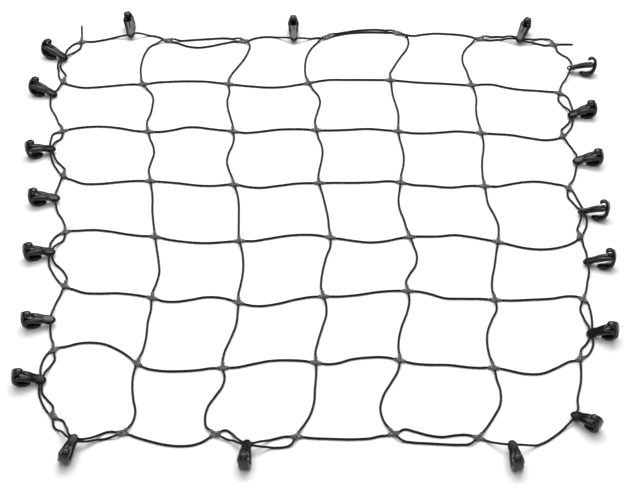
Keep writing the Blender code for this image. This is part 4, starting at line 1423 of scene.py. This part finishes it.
class CARGONET_OT_stage(bpy.types.Operator):
    """Add the pale floor, the soft lamps and the room's light"""

    bl_idname = "cargonet.stage"
    bl_label = "Stage"

    def execute(self, context):
        settings = context.scene.cargo_net.stage
        half = settings.floor_size / 2
        mesh = bpy.data.meshes.new("floor")
        corners = [(-half, -half, 0), (half, -half, 0), (half, half, 0), (-half, half, 0)]
        mesh.from_pydata(corners, [], [(0, 1, 2, 3)])
        mesh.materials.append(floor_material(settings))
        floor = bpy.data.objects.new("floor", mesh)
        context.scene.collection.objects.link(floor)
        self.add_lamp(context, "overhead", *OVERHEAD, settings.lamp_power)
        self.add_lamp(context, "fill", *FILL, settings.fill_power)
        world = context.scene.world or bpy.data.worlds.new("room")
        context.scene.world = world
        world.use_nodes = True
        room = Nodes(world.node_tree)
        light = world.node_tree.nodes["Background"]
        light.inputs["Color"].default_value = (1.0, 1.0, 1.0, 1.0)
        _, _, height = room.split(room.add("ShaderNodeTexCoord", {}, output="Generated"))
        strength = (LOW_LIGHT + height.between(*BRIGHT_FROM)) * settings.glow
        room.fill(light.inputs["Strength"], strength)
        context.scene.view_settings.view_transform = "Standard"
        return {"FINISHED"}

    def add_lamp(self, context, name, place_at, size, power):
        """A rectangular lamp over the net, facing its middle."""
        lamp = bpy.data.lights.new(name, "AREA")
        lamp.shape = "RECTANGLE"
        lamp.size, lamp.size_y = size
        lamp.energy = power
        thing = bpy.data.objects.new(name, lamp)
        thing.location = place_at
        thing.rotation_euler = Vector(place_at).to_track_quat("Z", "Y").to_euler()
        context.scene.collection.objects.link(thing)


class CARGONET_PT_net(bpy.types.Panel):
    """Settings and makers of the cargo net"""

    bl_idname = "CARGONET_PT_net"
    bl_label = "Cargo Net"
    bl_space_type = "VIEW_3D"
    bl_region_type = "UI"
    bl_category = "Cargo Net"

    def draw(self, context):
        settings = context.scene.cargo_net
        for group, maker in zip(("cord", "hook", "clip", "stage"), MAKERS[1:]):
            box = self.layout.box()
            for key in getattr(settings, group).__annotations__:
                box.prop(getattr(settings, group), key)
            box.operator(maker.bl_idname)
        self.layout.operator(MAKERS[0].bl_idname)


MAKERS = (
    CARGONET_OT_camera,
    CARGONET_OT_cord,
    CARGONET_OT_hooks,
    CARGONET_OT_clips,
    CARGONET_OT_stage,
)
GROUPS = (CordSettings, HookSettings, ClipSettings, StageSettings, NetSettings)
CLASSES = (*GROUPS, *MAKERS, CARGONET_PT_net)


def register():
    for each in CLASSES:
        bpy.utils.register_class(each)
    bpy.types.Scene.cargo_net = PointerProperty(type=NetSettings)


def unregister():
    del bpy.types.Scene.cargo_net
    for each in reversed(CLASSES):
        bpy.utils.unregister_class(each)


def main():
    register()
    bpy.ops.cargonet.camera()
    bpy.ops.cargonet.cord()
    bpy.ops.cargonet.hooks()
    bpy.ops.cargonet.clips()
    bpy.ops.cargonet.stage()


if __name__ == "__main__":
    main()
